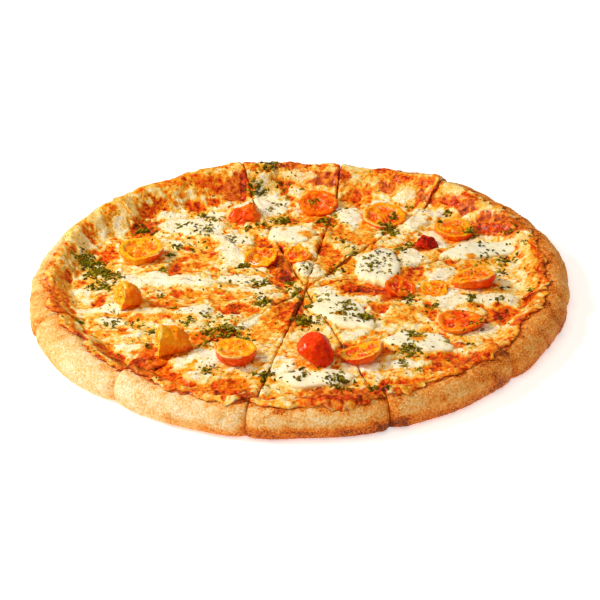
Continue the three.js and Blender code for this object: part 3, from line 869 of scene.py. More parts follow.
def strew_grains():
    """Joined grains at random bare points, turned at random and sunk halfway."""
    rng = np.random.default_rng(GRAIN_SEED)
    places, directions, bakes = bare_points()
    chosen = rng.integers(0, len(places), GRAIN_COUNT)
    aside = rng.normal(0, GRAIN_STRAY, (GRAIN_COUNT, 3))
    normal = directions[chosen]
    aside -= normal * (aside * normal).sum(1, keepdims=True)
    corners = GRAIN_CORNERS * rng.uniform(*GRAIN_RADIUS, (GRAIN_COUNT, 1, 3))
    turns, _ = np.linalg.qr(rng.normal(size=(GRAIN_COUNT, 3, 3)))
    points = np.einsum("nij,nkj->nki", turns, corners) + (places[chosen] + aside)[:, None]
    flipped = np.linalg.det(turns) < 0
    faces = np.where(flipped[:, None, None], GRAIN_FACES[:, ::-1], GRAIN_FACES)
    faces = (faces + len(GRAIN_CORNERS) * np.arange(GRAIN_COUNT)[:, None, None]).reshape(-1, 3).tolist()
    # a grain's colour follows the bread's browning, painted shade included
    toasted = np.repeat(bakes[chosen] + rng.uniform(-0.3, 0.1, GRAIN_COUNT), len(GRAIN_CORNERS))
    return new_piece("semolina_grains", points.reshape(-1, 3), faces, grain_recipe, toasted=toasted)


print("grain triangles:", triangles_in([strew_grains()]))

# %% [markdown]
# ## Fields of flavour
#
# What makes a baked cheese top look real is that it isn't one colour: fresh mozzarella melts
# to white islands, its oil gathers to golden and orange pools between them, tomato sauce
# breaks through in red, thin places toast to brown, and in the valleys the sauce cooks down
# until it is nearly black. Noise alone would put these anywhere, and a painted picture would
# be lost when the shape changes. So each is a short list of ovals, laid down one by one like
# the toppings. An oval alone would look like a stamp, so its edge is torn by noise.
# Some ovals are painted light and shade: toast and dark ones beside tomatoes, in cuts and folds and at the
# far rim paint shade, and broad pale ones along the back-left rim paint light.

# %% White islands, where fresh mozzarella melted, and painted light on the back-left rim
# x, y, half length, half width and direction of the long way; the four broad ovals from
# (-152, 62) to (-104, 127) are painted light, paler cheese on the rim's shaded inner slope
WHITE_PATCHES = [
    (-22, 118, 17, 13, 60), (-22, 136, 14, 9, 80), (-66, 88, 20, 13, 160), (-44, 70, 14, 11, 90),
    (-47, 48, 20, 8, 95), (-86, 92, 13, 10, 60), (-72, 8, 18, 6, 350), (-100, 12, 18, 8, 170),
    (-36, 10, 14, 8, 0), (-33, 34, 20, 4.5, 312), (-124, 88, 8, 5, 80), (-145, 60, 6, 6, 0),
    (-88, 108, 9, 6, 0), (-83, 64, 6, 4, 90), (80, 86, 15, 9, 75), (36, 98, 17, 8, 100),
    (25, 112, 9, 6, 20), (75, 36, 13, 8, 85), (95, 60, 14, 5, 105), (77, 124, 9, 8, 60),
    (114, 124, 10, 9, 60), (86, 108, 9, 7, 70), (6, 20, 14, 8, 95), (93, 8, 12, 6, 60),
    (136, 48, 14, 5, 345), (130, 94, 8, 5, 130), (-66, -33, 14, 8, 5), (-98, -34, 10, 4, 0),
    (-57, -92, 12, 9, 90), (-71, -96, 10, 6, 20), (-34, -50, 16, 4, 55), (-62, -116, 8, 6, 0),
    (-12, -104, 12, 8, 60), (-120, -28, 13, 5, 350), (-106, -80, 9, 5, 0), (112, -27, 26, 7, 2),
    (94, -22, 14, 5, 60), (116, -66, 9, 6, 60), (36, -107, 12, 6, 0), (65, -106, 12, 5, 0),
    (18, -9, 10, 6, 340), (-112, -9, 7, 4, 60), (-143, -4, 7, 5, 0), (-62, 108, 10, 6, 20),
    (57, 122, 6, 5, 0), (-135, -16, 5, 3, 30), (-120, -44, 10, 4, 350), (-26, -5, 12, 4, 15),
    (36, -68, 12, 4, 40), (98, 104, 8, 5, 40), (146, 2, 7, 3, 95), (-148, 86, 16, 3.5, 55),
    (-120, 122, 12, 3.5, 40), (0, 153, 14, 3.5, 175), (-40, 122, 6, 5, 60), (-152, 62, 16, 7, 115),
    (-141, 86, 15, 7, 125), (-124, 108, 14, 7, 135), (-104, 127, 10, 5, 150), (44, 153, 14, 4, 172),
    (152, 24, 16, 3, 97),
]
print("white patches:", len(WHITE_PATCHES))

# %% Gold and orange, where oil pooled or strands of yellow cheese lie, and painted light on the back-left rim
# the four broad ovals from (-152, 64) to (-100, 128) join the white ones there as painted light
GOLDEN_PATCHES = [
    (-12, -40, 26, 11, 62), (-20, -60, 10, 8, 0), (5, 98, 11, 7, 0), (43, 72, 14, 11, 60),
    (30, 84, 9, 8, 70), (46, 132, 12, 9, 80), (-95, -38, 19, 6, 355), (-118, -60, 14, 6, 0),
    (-60, 62, 12, 8, 0), (-62, 46, 14, 8, 0), (-70, 30, 10, 8, 20), (-32, 46, 10, 8, 120),
    (-128, 100, 12, 5, 40), (-143, 74, 14, 5, 60), (-112, 128, 14, 8, 40), (-88, 140, 14, 10, 30),
    (-153, -18, 34, 7, 94), (-90, -22, 12, 7, 60), (-50, -12, 20, 7, 0), (-72, -8, 12, 6, 0),
    (50, -88, 14, 8, 20), (72, -76, 6, 4, 0), (8, -109, 7, 6, 0), (75, -40, 12, 9, 30), (62, -45, 9, 8, 0),
    (100, 62, 10, 5, 0), (112, 18, 12, 8, 60), (22, 32, 12, 13, 90), (36, 20, 10, 4, 40),
    (100, 118, 12, 8, 60), (60, 148, 18, 8, 160), (-105, 17, 4, 3, 0), (-66, -132, 9, 18, 330),
    (90, -128, 16, 8, 30), (134, -84, 16, 5, 65), (-25, -122, 10, 6, 0), (150, -45, 10, 6, 70),
    (30, 5, 12, 6, 20), (-32, 158, 5, 8, 90), (-2, 95, 9, 5, 0), (62, -132, 18, 8, 20), (-105, 60, 8, 6, 0),
    (16, 146, 18, 7, 170), (-150, 40, 14, 5, 90), (30, -112, 5, 3, 120), (-58, 141, 22, 10, 172),
    (150, 8, 22, 5, 90), (-152, 64, 14, 8, 115), (-140, 88, 14, 9, 125), (-122, 110, 14, 9, 135),
    (-100, 128, 14, 8, 150), (152, 24, 14, 3, 97), (96, 118, 10, 9, 40), (82, 134, 14, 7, 150),
]
print("golden patches:", len(GOLDEN_PATCHES))

# %% Red, where tomato sauce broke through
RED_PATCHES = [
    (-128, 52, 15, 6, 86), (-97, 118, 9, 5, 150), (-73, 122, 8, 7, 0), (-109, 104, 12, 5, 45),
    (-120, 90, 4, 4, 0), (-82, 28, 17, 5, 86), (-75, 57, 4, 3, 150), (-78, 42, 4, 3, 30),
    (-124, 112, 9, 4, 110), (-152, 13, 7, 3, 100), (-141, 66, 4, 3, 0), (-102, 112, 7, 4, 20),
    (-24, 60, 13, 6, 105), (-18, 42, 15, 5, 105), (-12, 10, 13, 9, 100), (-12, 146, 9, 6, 20),
    (-5, 136, 4, 4, 0), (43, -8, 19, 10, 355), (75, 12, 11, 7, 70), (108, 112, 10, 4, 150),
    (157, 8, 34, 4, 93), (17, 55, 9, 6, 100), (24, 46, 5, 6, 0), (126, -48, 15, 10, 60),
    (146, -30, 10, 6, 50), (88, -104, 14, 13, 20), (102, -118, 12, 10, 20), (116, -108, 8, 6, 50),
    (68, -134, 15, 9, 20), (50, -138, 7, 12, 0), (-40, -30, 8, 6, 0), (-8, -34, 14, 4, 75),
    (-115, -90, 16, 8, 305), (-85, -102, 18, 8, 80), (-74, -118, 7, 13, 60), (-46, -138, 9, 18, 10),
    (-40, -126, 8, 8, 0), (-60, -146, 7, 7, 0), (-20, -141, 6, 4, 0), (-133, -60, 4, 3, 60),
    (-137, -72, 9, 4, 120), (-130, -18, 7, 5, 60), (10, 110, 9, 5, 0), (100, 28, 7, 3, 120),
    (30, -88, 10, 9, 60), (-108, 90, 13, 8, 100), (51, -33, 5, 5, 0), (85, -28, 5, 6, 90),
    (137, -66, 9, 7, 60), (-60, 128, 5, 4, 0), (-88, -26, 9, 5, 20), (-79, -8, 4, 5, 0),
    (60, 152, 12, 4, 160), (40, 131, 7, 5, 60), (-144, -34, 6, 3, 100), (-30, -33, 5, 4, 0),
    (-137, 54, 3, 6, 90), (30, -26, 3, 3, 0), (20, 92, 5, 8, 90), (-56, -64, 13, 8, 30),
    (-20, 26, 10, 4, 105), (-62, 142, 16, 4, 168), (120, 102, 12, 6, 135), (92, 132, 8, 4, 150),
    (75, 140, 8, 4, 155),
]
print("red patches:", len(RED_PATCHES))

# %% Brown, where thin places toasted, and painted shade in folds, by the cuts and at the far rim
TOASTED_PATCHES = [
    (137, 70, 25, 8.5, 136), (20, 95, 4, 6, 90), (24, -149, 28, 19, 355), (-52, -62, 11, 8, 40),
    (-3, -48, 15, 4, 78), (-104, 92, 9, 9, 100), (62, -19, 10, 5, 0), (-98, -106, 26, 8, 75),
    (-33, -148, 20, 6, 88), (-46, 139, 10, 10, 0), (118, -58, 12, 7, 80), (98, -112, 18, 5, 60),
    (83, 121, 12, 8, 150), (64, 137, 6, 4, 150), (-10, 24, 17, 5, 103), (150, 58, 8, 7, 130),
    (-154, -38, 12, 4, 110), (20, 148, 18, 5, 160), (95, -84, 7, 4, 0), (-82, 16, 4, 6, 90),
    (-4, 166, 14, 8, 0), (-22, 52, 3, 9, 100), (29, 146, 5, 9, 80), (160, -2, 20, 3, 92),
    (-158, -20, 16, 2, 95), (104, 28, 3, 2, 0), (-14, -24, 6, 4, 60), (86, 52, 6, 10, 80),
    (-50, -148, 8, 8, 0), (-88, -126, 7, 10, 50), (-112, -98, 10, 6, 320), (120, 100, 9, 6, 130),
]
print("toasted patches:", len(TOASTED_PATCHES))

# %% Dark, in the valleys where sauce cooked down, and painted shade beside tomatoes and in the cuts
DARK_PATCHES = [
    (-23, 57, 9, 3.5, 105), (-17, 38, 10, 4, 100), (-8, 12, 11, 4, 100), (-39, 141, 3, 10, 0),
    (32, 147, 6, 4, 0), (84, 117, 8, 4, 150), (-108, 91, 8, 6, 0), (35, -7, 13, 5, 0), (63, -9, 12, 4, 0),
    (-98, -104, 20, 3, 75), (-32, -149, 14, 3, 82), (22, -162, 20, 4, 355), (-46, -66, 12, 4, 30),
    (134, 70, 15, 3.5, 136), (-96, -94, 8, 3, 30), (126, -46, 8, 4, 60), (-1, -30, 13, 2.5, 78),
    (-82, 26, 7, 3, 86), (48, -128, 8, 3, 60), (100, -113, 12, 3, 45), (37, -151, 13, 5, 352),
    (6, -153, 7, 4, 0), (-14, -103, 5, 3, 60), (20, 98, 5, 4, 0),
]
print("dark patches:", len(DARK_PATCHES))

# %% From patches to smooth fields
NEAR_RIM = 16  # how far in from the toppings' edge the rim's heat is felt


def inside(x, y, patches):
    """1 in the middle of the nearest oval, 0 on its outline, down to -1 far outside."""
    best = np.full(np.shape(x), -1.0)
    for cx, cy, half_length, half_width, turn in patches:
        c, s = unit(turn)
        along, across = (x - cx) * c + (y - cy) * s, (y - cy) * c - (x - cx) * s
        best = np.maximum(best, 1 - np.hypot(along / half_length, across / half_width))
    return best


def torn(place, patches, seed, tear=0.34):
    """The same ovals with their edges torn by noise: a share from 0 to 1."""
    u, v = place.u, place.v
    edge = inside(place.x, place.y, patches)
    return rises(-0.12, 0.14, edge + tear * rough(u, v, 8, seed) + 0.5 * tear * rough(u, v, 2.6, seed + 5))


def flavours(place):
    """The shares of white, gold, red, brown and dark at points on the cheese, partly painted light and shade.

    Between the patches lie stray specks: near the rim fewer white and more of the others.
    """
    u, v = place.u, place.v
    near_rim = smooth(1 - past_bare(place) / NEAR_RIM)
    white, gold = torn(place, WHITE_PATCHES, 31), torn(place, GOLDEN_PATCHES, 41)
    red, toast = torn(place, RED_PATCHES, 51), torn(place, TOASTED_PATCHES, 61, 0.3)
    stray = 1 - np.max((white, gold, red, toast), axis=0)
    white = np.maximum(white, 0.7 * stray * rises(0.36, 0.56, rough(u, v, 6, 36)) * (1 - near_rim))
    gold = np.maximum(gold, (0.4 + 0.6 * stray) * rises(0.1, 0.5, rough(u, v, 7, 46) + 0.3 * near_rim))
    red = np.maximum(red, 0.9 * (1 - white) * rises(0.46, 0.7, rough(u, v, 4.5, 56) + 0.16 * near_rim))
    toast = np.maximum(toast, 0.7 * (1 - white) * rises(0.5, 0.84, rough(u, v, 3.6, 66) + 0.18 * near_rim))
    dark = torn(place, DARK_PATCHES, 86) * (1 - 0.6 * white)
    return SimpleNamespace(white=white, gold=gold, red=red, toast=toast, dark=dark)


sample = flavours(SLICES[0].place(np.linspace(0.1, 0.9, 50)[:, None], np.linspace(20, 160, 50)))
shares = {flavour: round(float(share.mean()), 2) for flavour, share in vars(sample).items()}
print("average shares on slice 1:", shares)

# %% [markdown]
# ## The melted cheese
#
# Cheese goes on in shreds and melts into a sheet that keeps a memory of them: soft lumps,
# strands, and blisters where steam pushed through. The white islands stand a little proud and
# are smooth, and where sauce broke through the sheet sinks. The sheet is a height for each
# point of a fine grid, less than a millimetre apart, so that the lumps are real shape and
# catch the light. Beside an open cut its edge is rounded over, and at a cut that has closed
# again the two edges nearly meet.

# %% The height of the cheese
# x, y, half length, half width, direction and how far a pool of mozzarella swells
POOLS = [
    (-29, 119, 17, 14, 90, 1.3), (-25, 155, 12, 8, 0, 1.5), (-66, 92, 22, 14, 20, 1.2),
    (-54, 58, 26, 12, 118, 1.4), (-84, 16, 28, 8, 174, 1.2), (-85, -34, 28, 9, 357, 1.3),
    (-57, -93, 13, 12, 0, 1.2), (37, 103, 14, 10, 80, 1.2), (84, 90, 22, 9, 70, 1.6),
    (3, 25, 14, 9, 90, 1.2), (120, -28, 26, 8, 8, 1.2), (146, -4, 8, 7, 0, 1.6),
]
CUT_ROUNDING = 2.2
CUT_CURL = 0.5  # how much an open cut's edges stand up
CURL_WIDTH = 2.5
TAPER_WIDTH = 12  # over which the sheet thickens from its edge inwards
THINNEST = 0.25


def soft_cheese_thickness(x, y):
    """The construction model's thickness: wide swells, and pools of mozzarella."""
    long = np.sin(x / 11.3 + 1.1) * np.sin(y / 9.7 + 0.4)
    short = np.sin((x + y) / 6.1) * np.sin((x - 1.4 * y) / 7.3 + 2)
    swell = sum(pool[5] * smooth(2.5 * inside(x, y, [pool[:5]])) for pool in POOLS)
    return CHEESE_THICKNESS + 0.7 * long + 0.4 * short + swell


def thin_edge(place, at_edge, further_in, width=5):
    """A measure that grows from the toppings' edge inwards."""
    return mix(at_edge, further_in, smooth(past_bare(place) / width))


def bread_top(place):
    """The height of the baked bread under the sauce."""
    return plain_bread(place) + bread_rise(place)


def cheese_floor(place):
    """The height of the cheese's underside, just over the sauce."""
    return bread_top(place) + thin_edge(place, 0.4, 2 * LAYER_GAP + SAUCE_THICKNESS)


def cheese_lumps(place, flavour):
    """Lumps, strands and blisters, with the white islands proud and the red places sunk."""
    u, v = place.u, place.v
    white, red, toast = flavour.white, flavour.red, flavour.toast
    lumps = 0.6 * rough(u, v, 8, 71) + 0.6 * (ridges(u, v, 4.5, 74) - 0.6) * (1 - 0.6 * white)
    lumps = lumps + 0.24 * rough(u, v, 1.9, 77, 2) * (1 - 0.5 * white)
    lumps = lumps + 0.8 * blisters(u, v, 8, 79, 0.35) * (1 - white) + 0.8 * white - 0.9 * red * (1 - white)
    return lumps + 0.5 * toast * rough(u, v, 3, 83)


def cheese_top(place, flavour):
    """The height of the cheese, rounded over and curled up beside an open cut."""
    u, v = place.u, place.v
    opened = smooth(place.cut_open * 1.4) * rises(-0.5, 0.5, rough(u, v, 11, 88))
    rounding = CUT_ROUNDING * mix(0.6, 1.5, rises(-0.7, 0.7, rough(u, v, 14, 89)))
    round_off = 1 - np.sqrt(1 - (1 - np.clip(place.cut_distance / rounding, 0, 1)) ** 2)
    curled = CUT_CURL * smooth(1 - np.abs(place.cut_distance - rounding) / CURL_WIDTH)
    swollen = soft_cheese_thickness(place.x, place.y) + cheese_lumps(place, flavour)
    thickness = thin_edge(place, 0.3, 1, TAPER_WIDTH) * (swollen + curled * place.cut_open)
    return cheese_floor(place) + np.maximum(thickness * (1 - 0.8 * opened * round_off), THINNEST)


middle = SLICES[0].place(np.array([0.5]), np.array([80.0]))
print("cheese height 80 mm in from the edge:", cheese_top(middle, flavours(middle)).round(1))

# %% [markdown]
# ## The colours of baked cheese
#
# From fresh to burnt, cheese and sauce run through one row of colours: white, cream, yellow,
# orange, red and a brown that is nearly black. So one number for each point, its warmth,
# picks the colour from a ramp, and noise in the finish breaks it up more finely than the
# mesh can. Toast has a ramp of its own, since a scorched spot is matt where fat is glossy.
# Painted shade rides on both: warmth rises beside open cuts and in the dark ovals, and the toast ramp colours
# shade in some toast ovals.

# %% The finish of the cheese
cheese_recipe = Recipe("melted_cheese", Specular_IOR_Level=0.22, Subsurface_Weight=0.12,
                       Subsurface_Radius=(0.004, 0.002, 0.001), Subsurface_Scale=0.4,
                       Coat_Weight=0.06, Coat_Roughness=0.1)
speckle = cheese_recipe.sway(cheese_recipe.noise(1.3, 3, 0.5), 0.1)
mottle = cheese_recipe.sway(cheese_recipe.noise(3.4, 3, 0.8), 0.1)
warmth = cheese_recipe.add(cheese_recipe.value("warmth"), cheese_recipe.add(speckle, mottle))
cheese_colour = cheese_recipe.ramp(
    warmth, (0.0, (255, 250, 238)), (0.14, (253, 242, 212)), (0.28, (250, 222, 150)),
    (0.42, (248, 192, 74)), (0.54, (246, 154, 18)), (0.66, (238, 102, 3)), (0.78, (210, 52, 1)),
    (0.89, (140, 30, 1)), (1.0, (66, 16, 1)))
OLIVE = (158, 122, 34)
olive_dots = cheese_recipe.fit(cheese_recipe.noise(1.5, 2, 0.4), 0.6, 0.7, 0.0, 0.65)
# the toast ramp also colours the painted shade in some toast ovals
toasted_colour = cheese_recipe.ramp(
    cheese_recipe.noise(4.2, 4, 0.6), (0.32, (122, 34, 1)), (0.42, (180, 66, 3)),
    (0.54, (220, 100, 8)), (0.66, (242, 150, 36)))
browned = cheese_recipe.value("browned")
cheese_recipe.set("Base Color", cheese_recipe.blend(
    cheese_recipe.fit(cheese_recipe.add(browned, speckle), 0.15, 0.9),
    cheese_recipe.blend(olive_dots, cheese_colour, OLIVE), toasted_colour))
shine = cheese_recipe.fit(warmth, 0.0, 0.8, 0.4, 0.26)
cheese_recipe.set("Roughness", cheese_recipe.add(shine, cheese_recipe.fit(browned, 0.2, 1, 0, 0.24)))
cheese_recipe.relief(cheese_recipe.noise(1.1, 3, 0.4), 0.34)
print("nodes in the cheese's recipe:", len(cheese_recipe.tree.nodes))

# %% The cheese's slices
CHEESE_SPACING = 0.85
UNDER_SPACING = 3  # of the points underneath, which nobody sees
EDGE_INSET = 1.2  # how far the cheese's edge lies in from the sauce's


def warmth_of(flavour, place):
    """One number for the colour: 0 is fresh white, 0.5 golden, 0.8 sauce red, 1 burnt; painted shade raises
    it in the dark ovals and beside open cuts.
    """
    u, v, past_edge = place.u, place.v, past_bare(place)
    warm = 0.34 + 0.16 * rough(u, v, 6, 91) + 0.14 * rough(u, v, 2.2, 94, 2)
    warm = warm + 0.18 * flavour.gold + 0.08 * smooth(1 - past_edge / 4)
    creamy = 0.12 + 0.22 * smooth(1 - past_edge / 28) + 0.07 * rough(u, v, 4, 96)
    warm = mix(warm, creamy, flavour.white * (1 - 0.3 * flavour.gold))
    warm = mix(warm, 0.7 + 0.2 * rough(u, v, 3, 97), flavour.red * (1 - 0.7 * flavour.white))
    # the dark ovals: cooked-down sauce, and partly painted shade beside tomatoes and in the cuts
    warm = mix(warm, 0.88 + 0.16 * rough(u, v, 3, 99), 0.85 * flavour.dark)
    # painted shade: the cheese is darker beside an open cut
    at_cut = smooth(1 - place.cut_distance / 1.6) * place.cut_open
    return warm + 0.2 * at_cut * (1 - 0.5 * flavour.white)


def browning_of(flavour):
    """How brown the cheese is from toasting, with painted shade in some brown ovals: white islands resist it.
    """
    return flavour.toast * (1 - 0.7 * flavour.white) * (1 - 0.8 * flavour.dark)


def ragged_edge(x, y):
    """How far the melted edge runs over or falls short of its plain line, in mm."""
    return np.maximum(2.4 * rough(x, y, 8, 101) + 1.5 * rough(x, y, 2.6, 104), -3.5)


def cheese_slice(piece):
    quilt = Quilt(piece)
    arc = piece.span * piece.length
    for level in np.linspace(0, 1, int(piece.length / CHEESE_SPACING)):
        quilt.row(max(2, int(arc * level / CHEESE_SPACING) + 1), level=level)
    turn = len(quilt.rows) - 1
    for level in np.concatenate((np.linspace(1, 0.78, 8), [0.7, 0.35, 0])):
        quilt.row(max(2, int(arc * level / UNDER_SPACING)), level=level)
    share = quilt.all("share")
    edge = piece.place(share, 0.0)
    edge_inset = edge.bare + EDGE_INSET + ragged_edge(edge.x, edge.y)
    place = piece.place(share, mix(piece.reach(share), edge_inset, quilt.all("level")))
    flavour = flavours(place)
    below = np.arange(quilt.size) > quilt.rows[turn][-1]
    z = np.where(below, cheese_floor(place), cheese_top(place, flavour))
    points = np.stack((place.x, place.y, z), -1)
    return stand_in("melted_", "cheese", piece.index + 1, points, quilt.faces(points, turn), cheese_recipe,
                    warmth=warmth_of(flavour, place), browned=browning_of(flavour))


cheeses = [cheese_slice(piece) for piece in SLICES]
print("cheese triangles:", triangles_in(cheeses))

# %% [markdown]
# ## The tomato sauce
#
# Under the cheese lies a thin coat of sauce. It shows along the rim, where it runs past the
# cheese, and inside the cuts. There it has dried to an orange-brown line with a gloss. It
# could be a band of colour on the bread, but a thin sheet of its own, with a ragged outer
# edge, has the small step and the shadow of a real layer.

# %% Sauce
SAUCE_SPACING = 1.3
SHEET_SPACING = 6  # of the points in the middle, which lie under the cheese
FINE_WIDTH = 30  # how far in from its edge the sauce is finely made

sauce_recipe = Recipe("tomato_sauce", Roughness=0.32, Specular_IOR_Level=0.5, Coat_Weight=0.3,
                      Coat_Roughness=0.15, Subsurface_Weight=0.1, Subsurface_Scale=0.3)
sauce_recipe.set("Base Color", sauce_recipe.ramp(
    sauce_recipe.add(sauce_recipe.noise(2.2, 4, 0.6), sauce_recipe.value("dried")),
    (0.3, (240, 168, 70)), (0.5, (222, 110, 24)), (0.7, (188, 66, 12)), (0.95, (110, 40, 10))))
sauce_recipe.relief(sauce_recipe.noise(1.2, 3), 0.3)


def sauce_slice(piece):
    """Its rows go outwards with full thickness, then back underneath with none."""
    quilt = Quilt(piece)
    arc = piece.span * piece.length
    fine, coarse = int(arc / SAUCE_SPACING), int(arc / 4)
    for level in (0, 0.3, 0.6, 0.75):
        quilt.row(max(2, int(arc * level / SHEET_SPACING)), level=level, past=0.0, lift=1.0)
    for past in np.linspace(FINE_WIDTH, 1, 22):
        quilt.row(fine, level=1, past=past, lift=1.0)
    quilt.row(fine, level=1, past=0.2, lift=0.5)
    turn = len(quilt.rows) - 1
    for past in (0, 4, 10, 18, 26):
        quilt.row(coarse if past else fine, level=1, past=past, lift=0.0)
    for level in (0.6, 0):
        quilt.row(max(2, int(arc * level / SHEET_SPACING)), level=level, past=0.0, lift=0.0)
    share = quilt.all("share")
    edge = piece.place(share, 0.0)
    ragged = 1.4 + 1.6 * rough(edge.x, edge.y, 6, 111) + 1.1 * rough(edge.x, edge.y, 2.2, 114)
    edge_inset = edge.bare + ragged + quilt.all("past")
    place = piece.place(share, mix(piece.reach(share), edge_inset, quilt.all("level")))
    x, y = place.x, place.y
    thickness = thin_edge(place, 0.3, SAUCE_THICKNESS) * quilt.all("lift") * (1 + 0.25 * rough(x, y, 3, 117))
    z = bread_top(place) + thin_edge(place, 0.05, LAYER_GAP) + thickness
    points = np.stack((x, y, z), -1)
    return stand_in("tomato_", "sauce", piece.index + 1, points, quilt.faces(points, turn), sauce_recipe,
                    dried=0.12 + 0.3 * rough(x, y, 4, 119))


sauces = [sauce_slice(piece) for piece in SLICES]
print("sauce triangles:", triangles_in(sauces))

# %% [markdown]
# ## Slabs of mozzarella
#
# Six slices of fresh mozzarella softened without running out: pale, rounded pads with a
# nibbled outline and an uneven top. A sculpted lump would do, but rings drawn from the middle
# of the pad to its rim are quicker and just as soft. The rim drops steeply into the cheese,
# and light that scatters under the surface gives the look of a wet, milky thing.

# %% The slabs
# x, y, half length, half width, direction and height
SLABS = [
    (53, 22, 25, 15.5, 83, 4.2), (26, -38, 27, 15, 303, 3.0), (-4, 74, 17, 13, 175, 2.6),
    (122, 43, 26, 12, 10, 2.6), (73, -79, 22, 12, 344, 2.8), (9, -120, 23, 11, 0, 2.6),
]
# x, y and radius of the places where oil or yolk-yellow cheese stained a slab
SLAB_STAINS = [(6, 71, 8), (72, -76, 6), (8, -111, 7), (24, -44, 4), (115, 33, 5), (-10, 79, 3), (92, 40, 3)]
SLAB_UNEVENNESS = 0.06
SLAB_RINGS, SLAB_SIDES = 34, 110
SLAB_SINKS = 0.4  # how deep a pad sinks into the cheese
LOWEST_RINGS = (1.0, 2.2)  # how deep under the cheese its two lowest rings lie

slab_recipe = Recipe("soft_mozzarella", Roughness=0.42, Specular_IOR_Level=0.4, Subsurface_Weight=0.3,
                     Subsurface_Radius=(0.006, 0.004, 0.002), Subsurface_Scale=0.6, Coat_Weight=0.2,
                     Coat_Roughness=0.15)
slab_recipe.set("Base Color", slab_recipe.ramp(
    slab_recipe.add(slab_recipe.value("stain"), slab_recipe.sway(slab_recipe.noise(2.6, 4, 0.5), 0.1)),
    (0.0, (255, 250, 232)), (0.3, (252, 240, 204)), (0.55, (250, 212, 130)), (0.8, (246, 162, 36)),
    (1.0, (236, 116, 10))))
slab_recipe.relief(slab_recipe.noise(1.6, 3), 0.16)


def flat_cheese_height(x, y):
    """The height of the cheese without its lumps, which slabs and tomatoes rest on."""
    place = locate(np.atleast_1d(x).astype(float), np.atleast_1d(y).astype(float))
    return cheese_floor(place) + thin_edge(place, 0.3, 1, 14) * soft_cheese_thickness(place.x, place.y)


def slab_outline(cx, cy, half_length, half_width, turn):
    """Rings from the middle of a pad to its rim, and two more that go down: x, y and the share."""
    ring = np.linspace(0, 1, SLAB_RINGS)
    radius = np.concatenate((np.sin(ring * np.pi / 2), [1.0, 0.95]))
    angle = np.linspace(0, 2 * np.pi, SLAB_SIDES, endpoint=False)
    r, a = np.meshgrid(radius, angle, indexing="ij")
    uneven = 1 + SLAB_UNEVENNESS * (np.sin(3 * a + cx) + np.sin(5 * a + cy))
    nibbled = 1 + 0.08 * rough(20 * np.cos(a) + cx, 20 * np.sin(a) + cy, 7, 121)
    along = half_length * r * uneven * nibbled * np.cos(a)
    across = half_width * r * uneven * nibbled * np.sin(a)
    c, s = unit(turn)
    return cx + along * c - across * s, cy + along * s + across * c, r


def stain_at(x, y, r):
    """0 is clean and white, 1 soaked with orange oil; the rim takes up a little of it."""
    stain = 0.16 + 0.1 * rough(x, y, 7, 131) + 0.3 * smooth((r - 0.85) / 0.15)
    for stain_x, stain_y, size in SLAB_STAINS:
        away = np.hypot(x - stain_x, y - stain_y) / size + 0.3 * rough(x, y, 3, 133)
        stain = np.maximum(stain, 0.9 * smooth(1.3 - away))
    return stain


def slab_piece(number, cx, cy, half_length, half_width, turn, height):
    """A pad that partly follows the cheese under it, with a domed and lumpy top."""
    x, y, r = slab_outline(cx, cy, half_length, half_width, turn)
    base = flat_cheese_height(cx, cy)[0]
    under = flat_cheese_height(x.ravel(), y.ravel()).reshape(x.shape)
    dome = np.sqrt(np.clip(1 - r**7, 0, 1)) * height
    lumps = 0.5 * rough(x, y, 9, 123) + 0.25 * (ridges(x, y, 6, 126) - 0.6) + 0.12 * rough(x, y, 2.4, 128)
    z = mix(under, base, 0.4) + dome + lumps * smooth(2.5 * (1 - r)) - SLAB_SINKS
    for ring, sinks in enumerate(LOWEST_RINGS, SLAB_RINGS):
        z[ring] = under[ring] - sinks
    stain = stain_at(x, y, r)
    points = np.stack((x, y, z), -1).reshape(-1, 3)
    middle, lowest = points[:SLAB_SIDES].mean(0), (cx, cy, base - LOWEST_RINGS[-1])
    points = np.concatenate((points[SLAB_SIDES:], [middle, lowest]))
    stain = np.concatenate((stain.ravel()[SLAB_SIDES:], [stain[0].mean(), 0.5]))
    faces = closed_rings(len(r) - 1, SLAB_SIDES)
    return stand_in("soft_", "mozzarella", number, points, faces, slab_recipe, stain=stain)


slabs = [slab_piece(number, *slab) for number, slab in enumerate(SLABS, 1)]
print("slab triangles:", triangles_in(slabs))

# %% [markdown]
# ## Cherry tomato halves
#
# A halved cherry tomato has a taut skin, a pale line where the knife went through it, a
# thick wall of flesh and two or three wet chambers with seeds. In the oven the wall slumps,
# the skin creases and the juice thickens to orange jelly. Each half is turned like a bowl:
# rings from the bottom of the skin up to the lip, over it, and across the cut side to the
# middle. The chambers are dips in the cut side, with their own colour at the same points.
# The skin's bright and far sides are painted light and shade, and the lip partly a highlight.

# %% The tomatoes' places
# x, y, radius, depth, lean, heading and lift, as in the model
TOMATOES = [
    (-106, 45, 14.2, 12, 6, 270, 7), (-115, -23, 10, 15, 70, 200, 6.4),
    (-87, -82, 10.5, 20, 80, 190, 6.3), (-39.5, -93.5, 12.3, 12, 2, 90, 7),
    (7, -98.5, 12.8, 13.5, 150, 182, 4), (36.5, -95, 13.5, 8, 16, 140, 4.5),
    (100, -58, 14.6, 7, 2, 90, 3.8), (113.5, -2.5, 13.3, 10, 12, 140, 6), (107, 72, 12.8, 9, 6, 270, 5),
    (60, 96.5, 15.1, 7, 8, 270, 4), (15, 119, 14, 8, 8, 280, 4), (-37, 104, 11.5, 8, 172, 40, 0),
    (87, 54, 8, 6, 165, 200, 0), (65.5, -12.5, 9.5, 7, 24, 320, 4), (87, -13, 8.5, 6, 12, 270, 3),
    (-26, 35, 11.5, 7, 12, 250, 4), (-0.5, 40.5, 9, 5, 10, 270, 3),
]
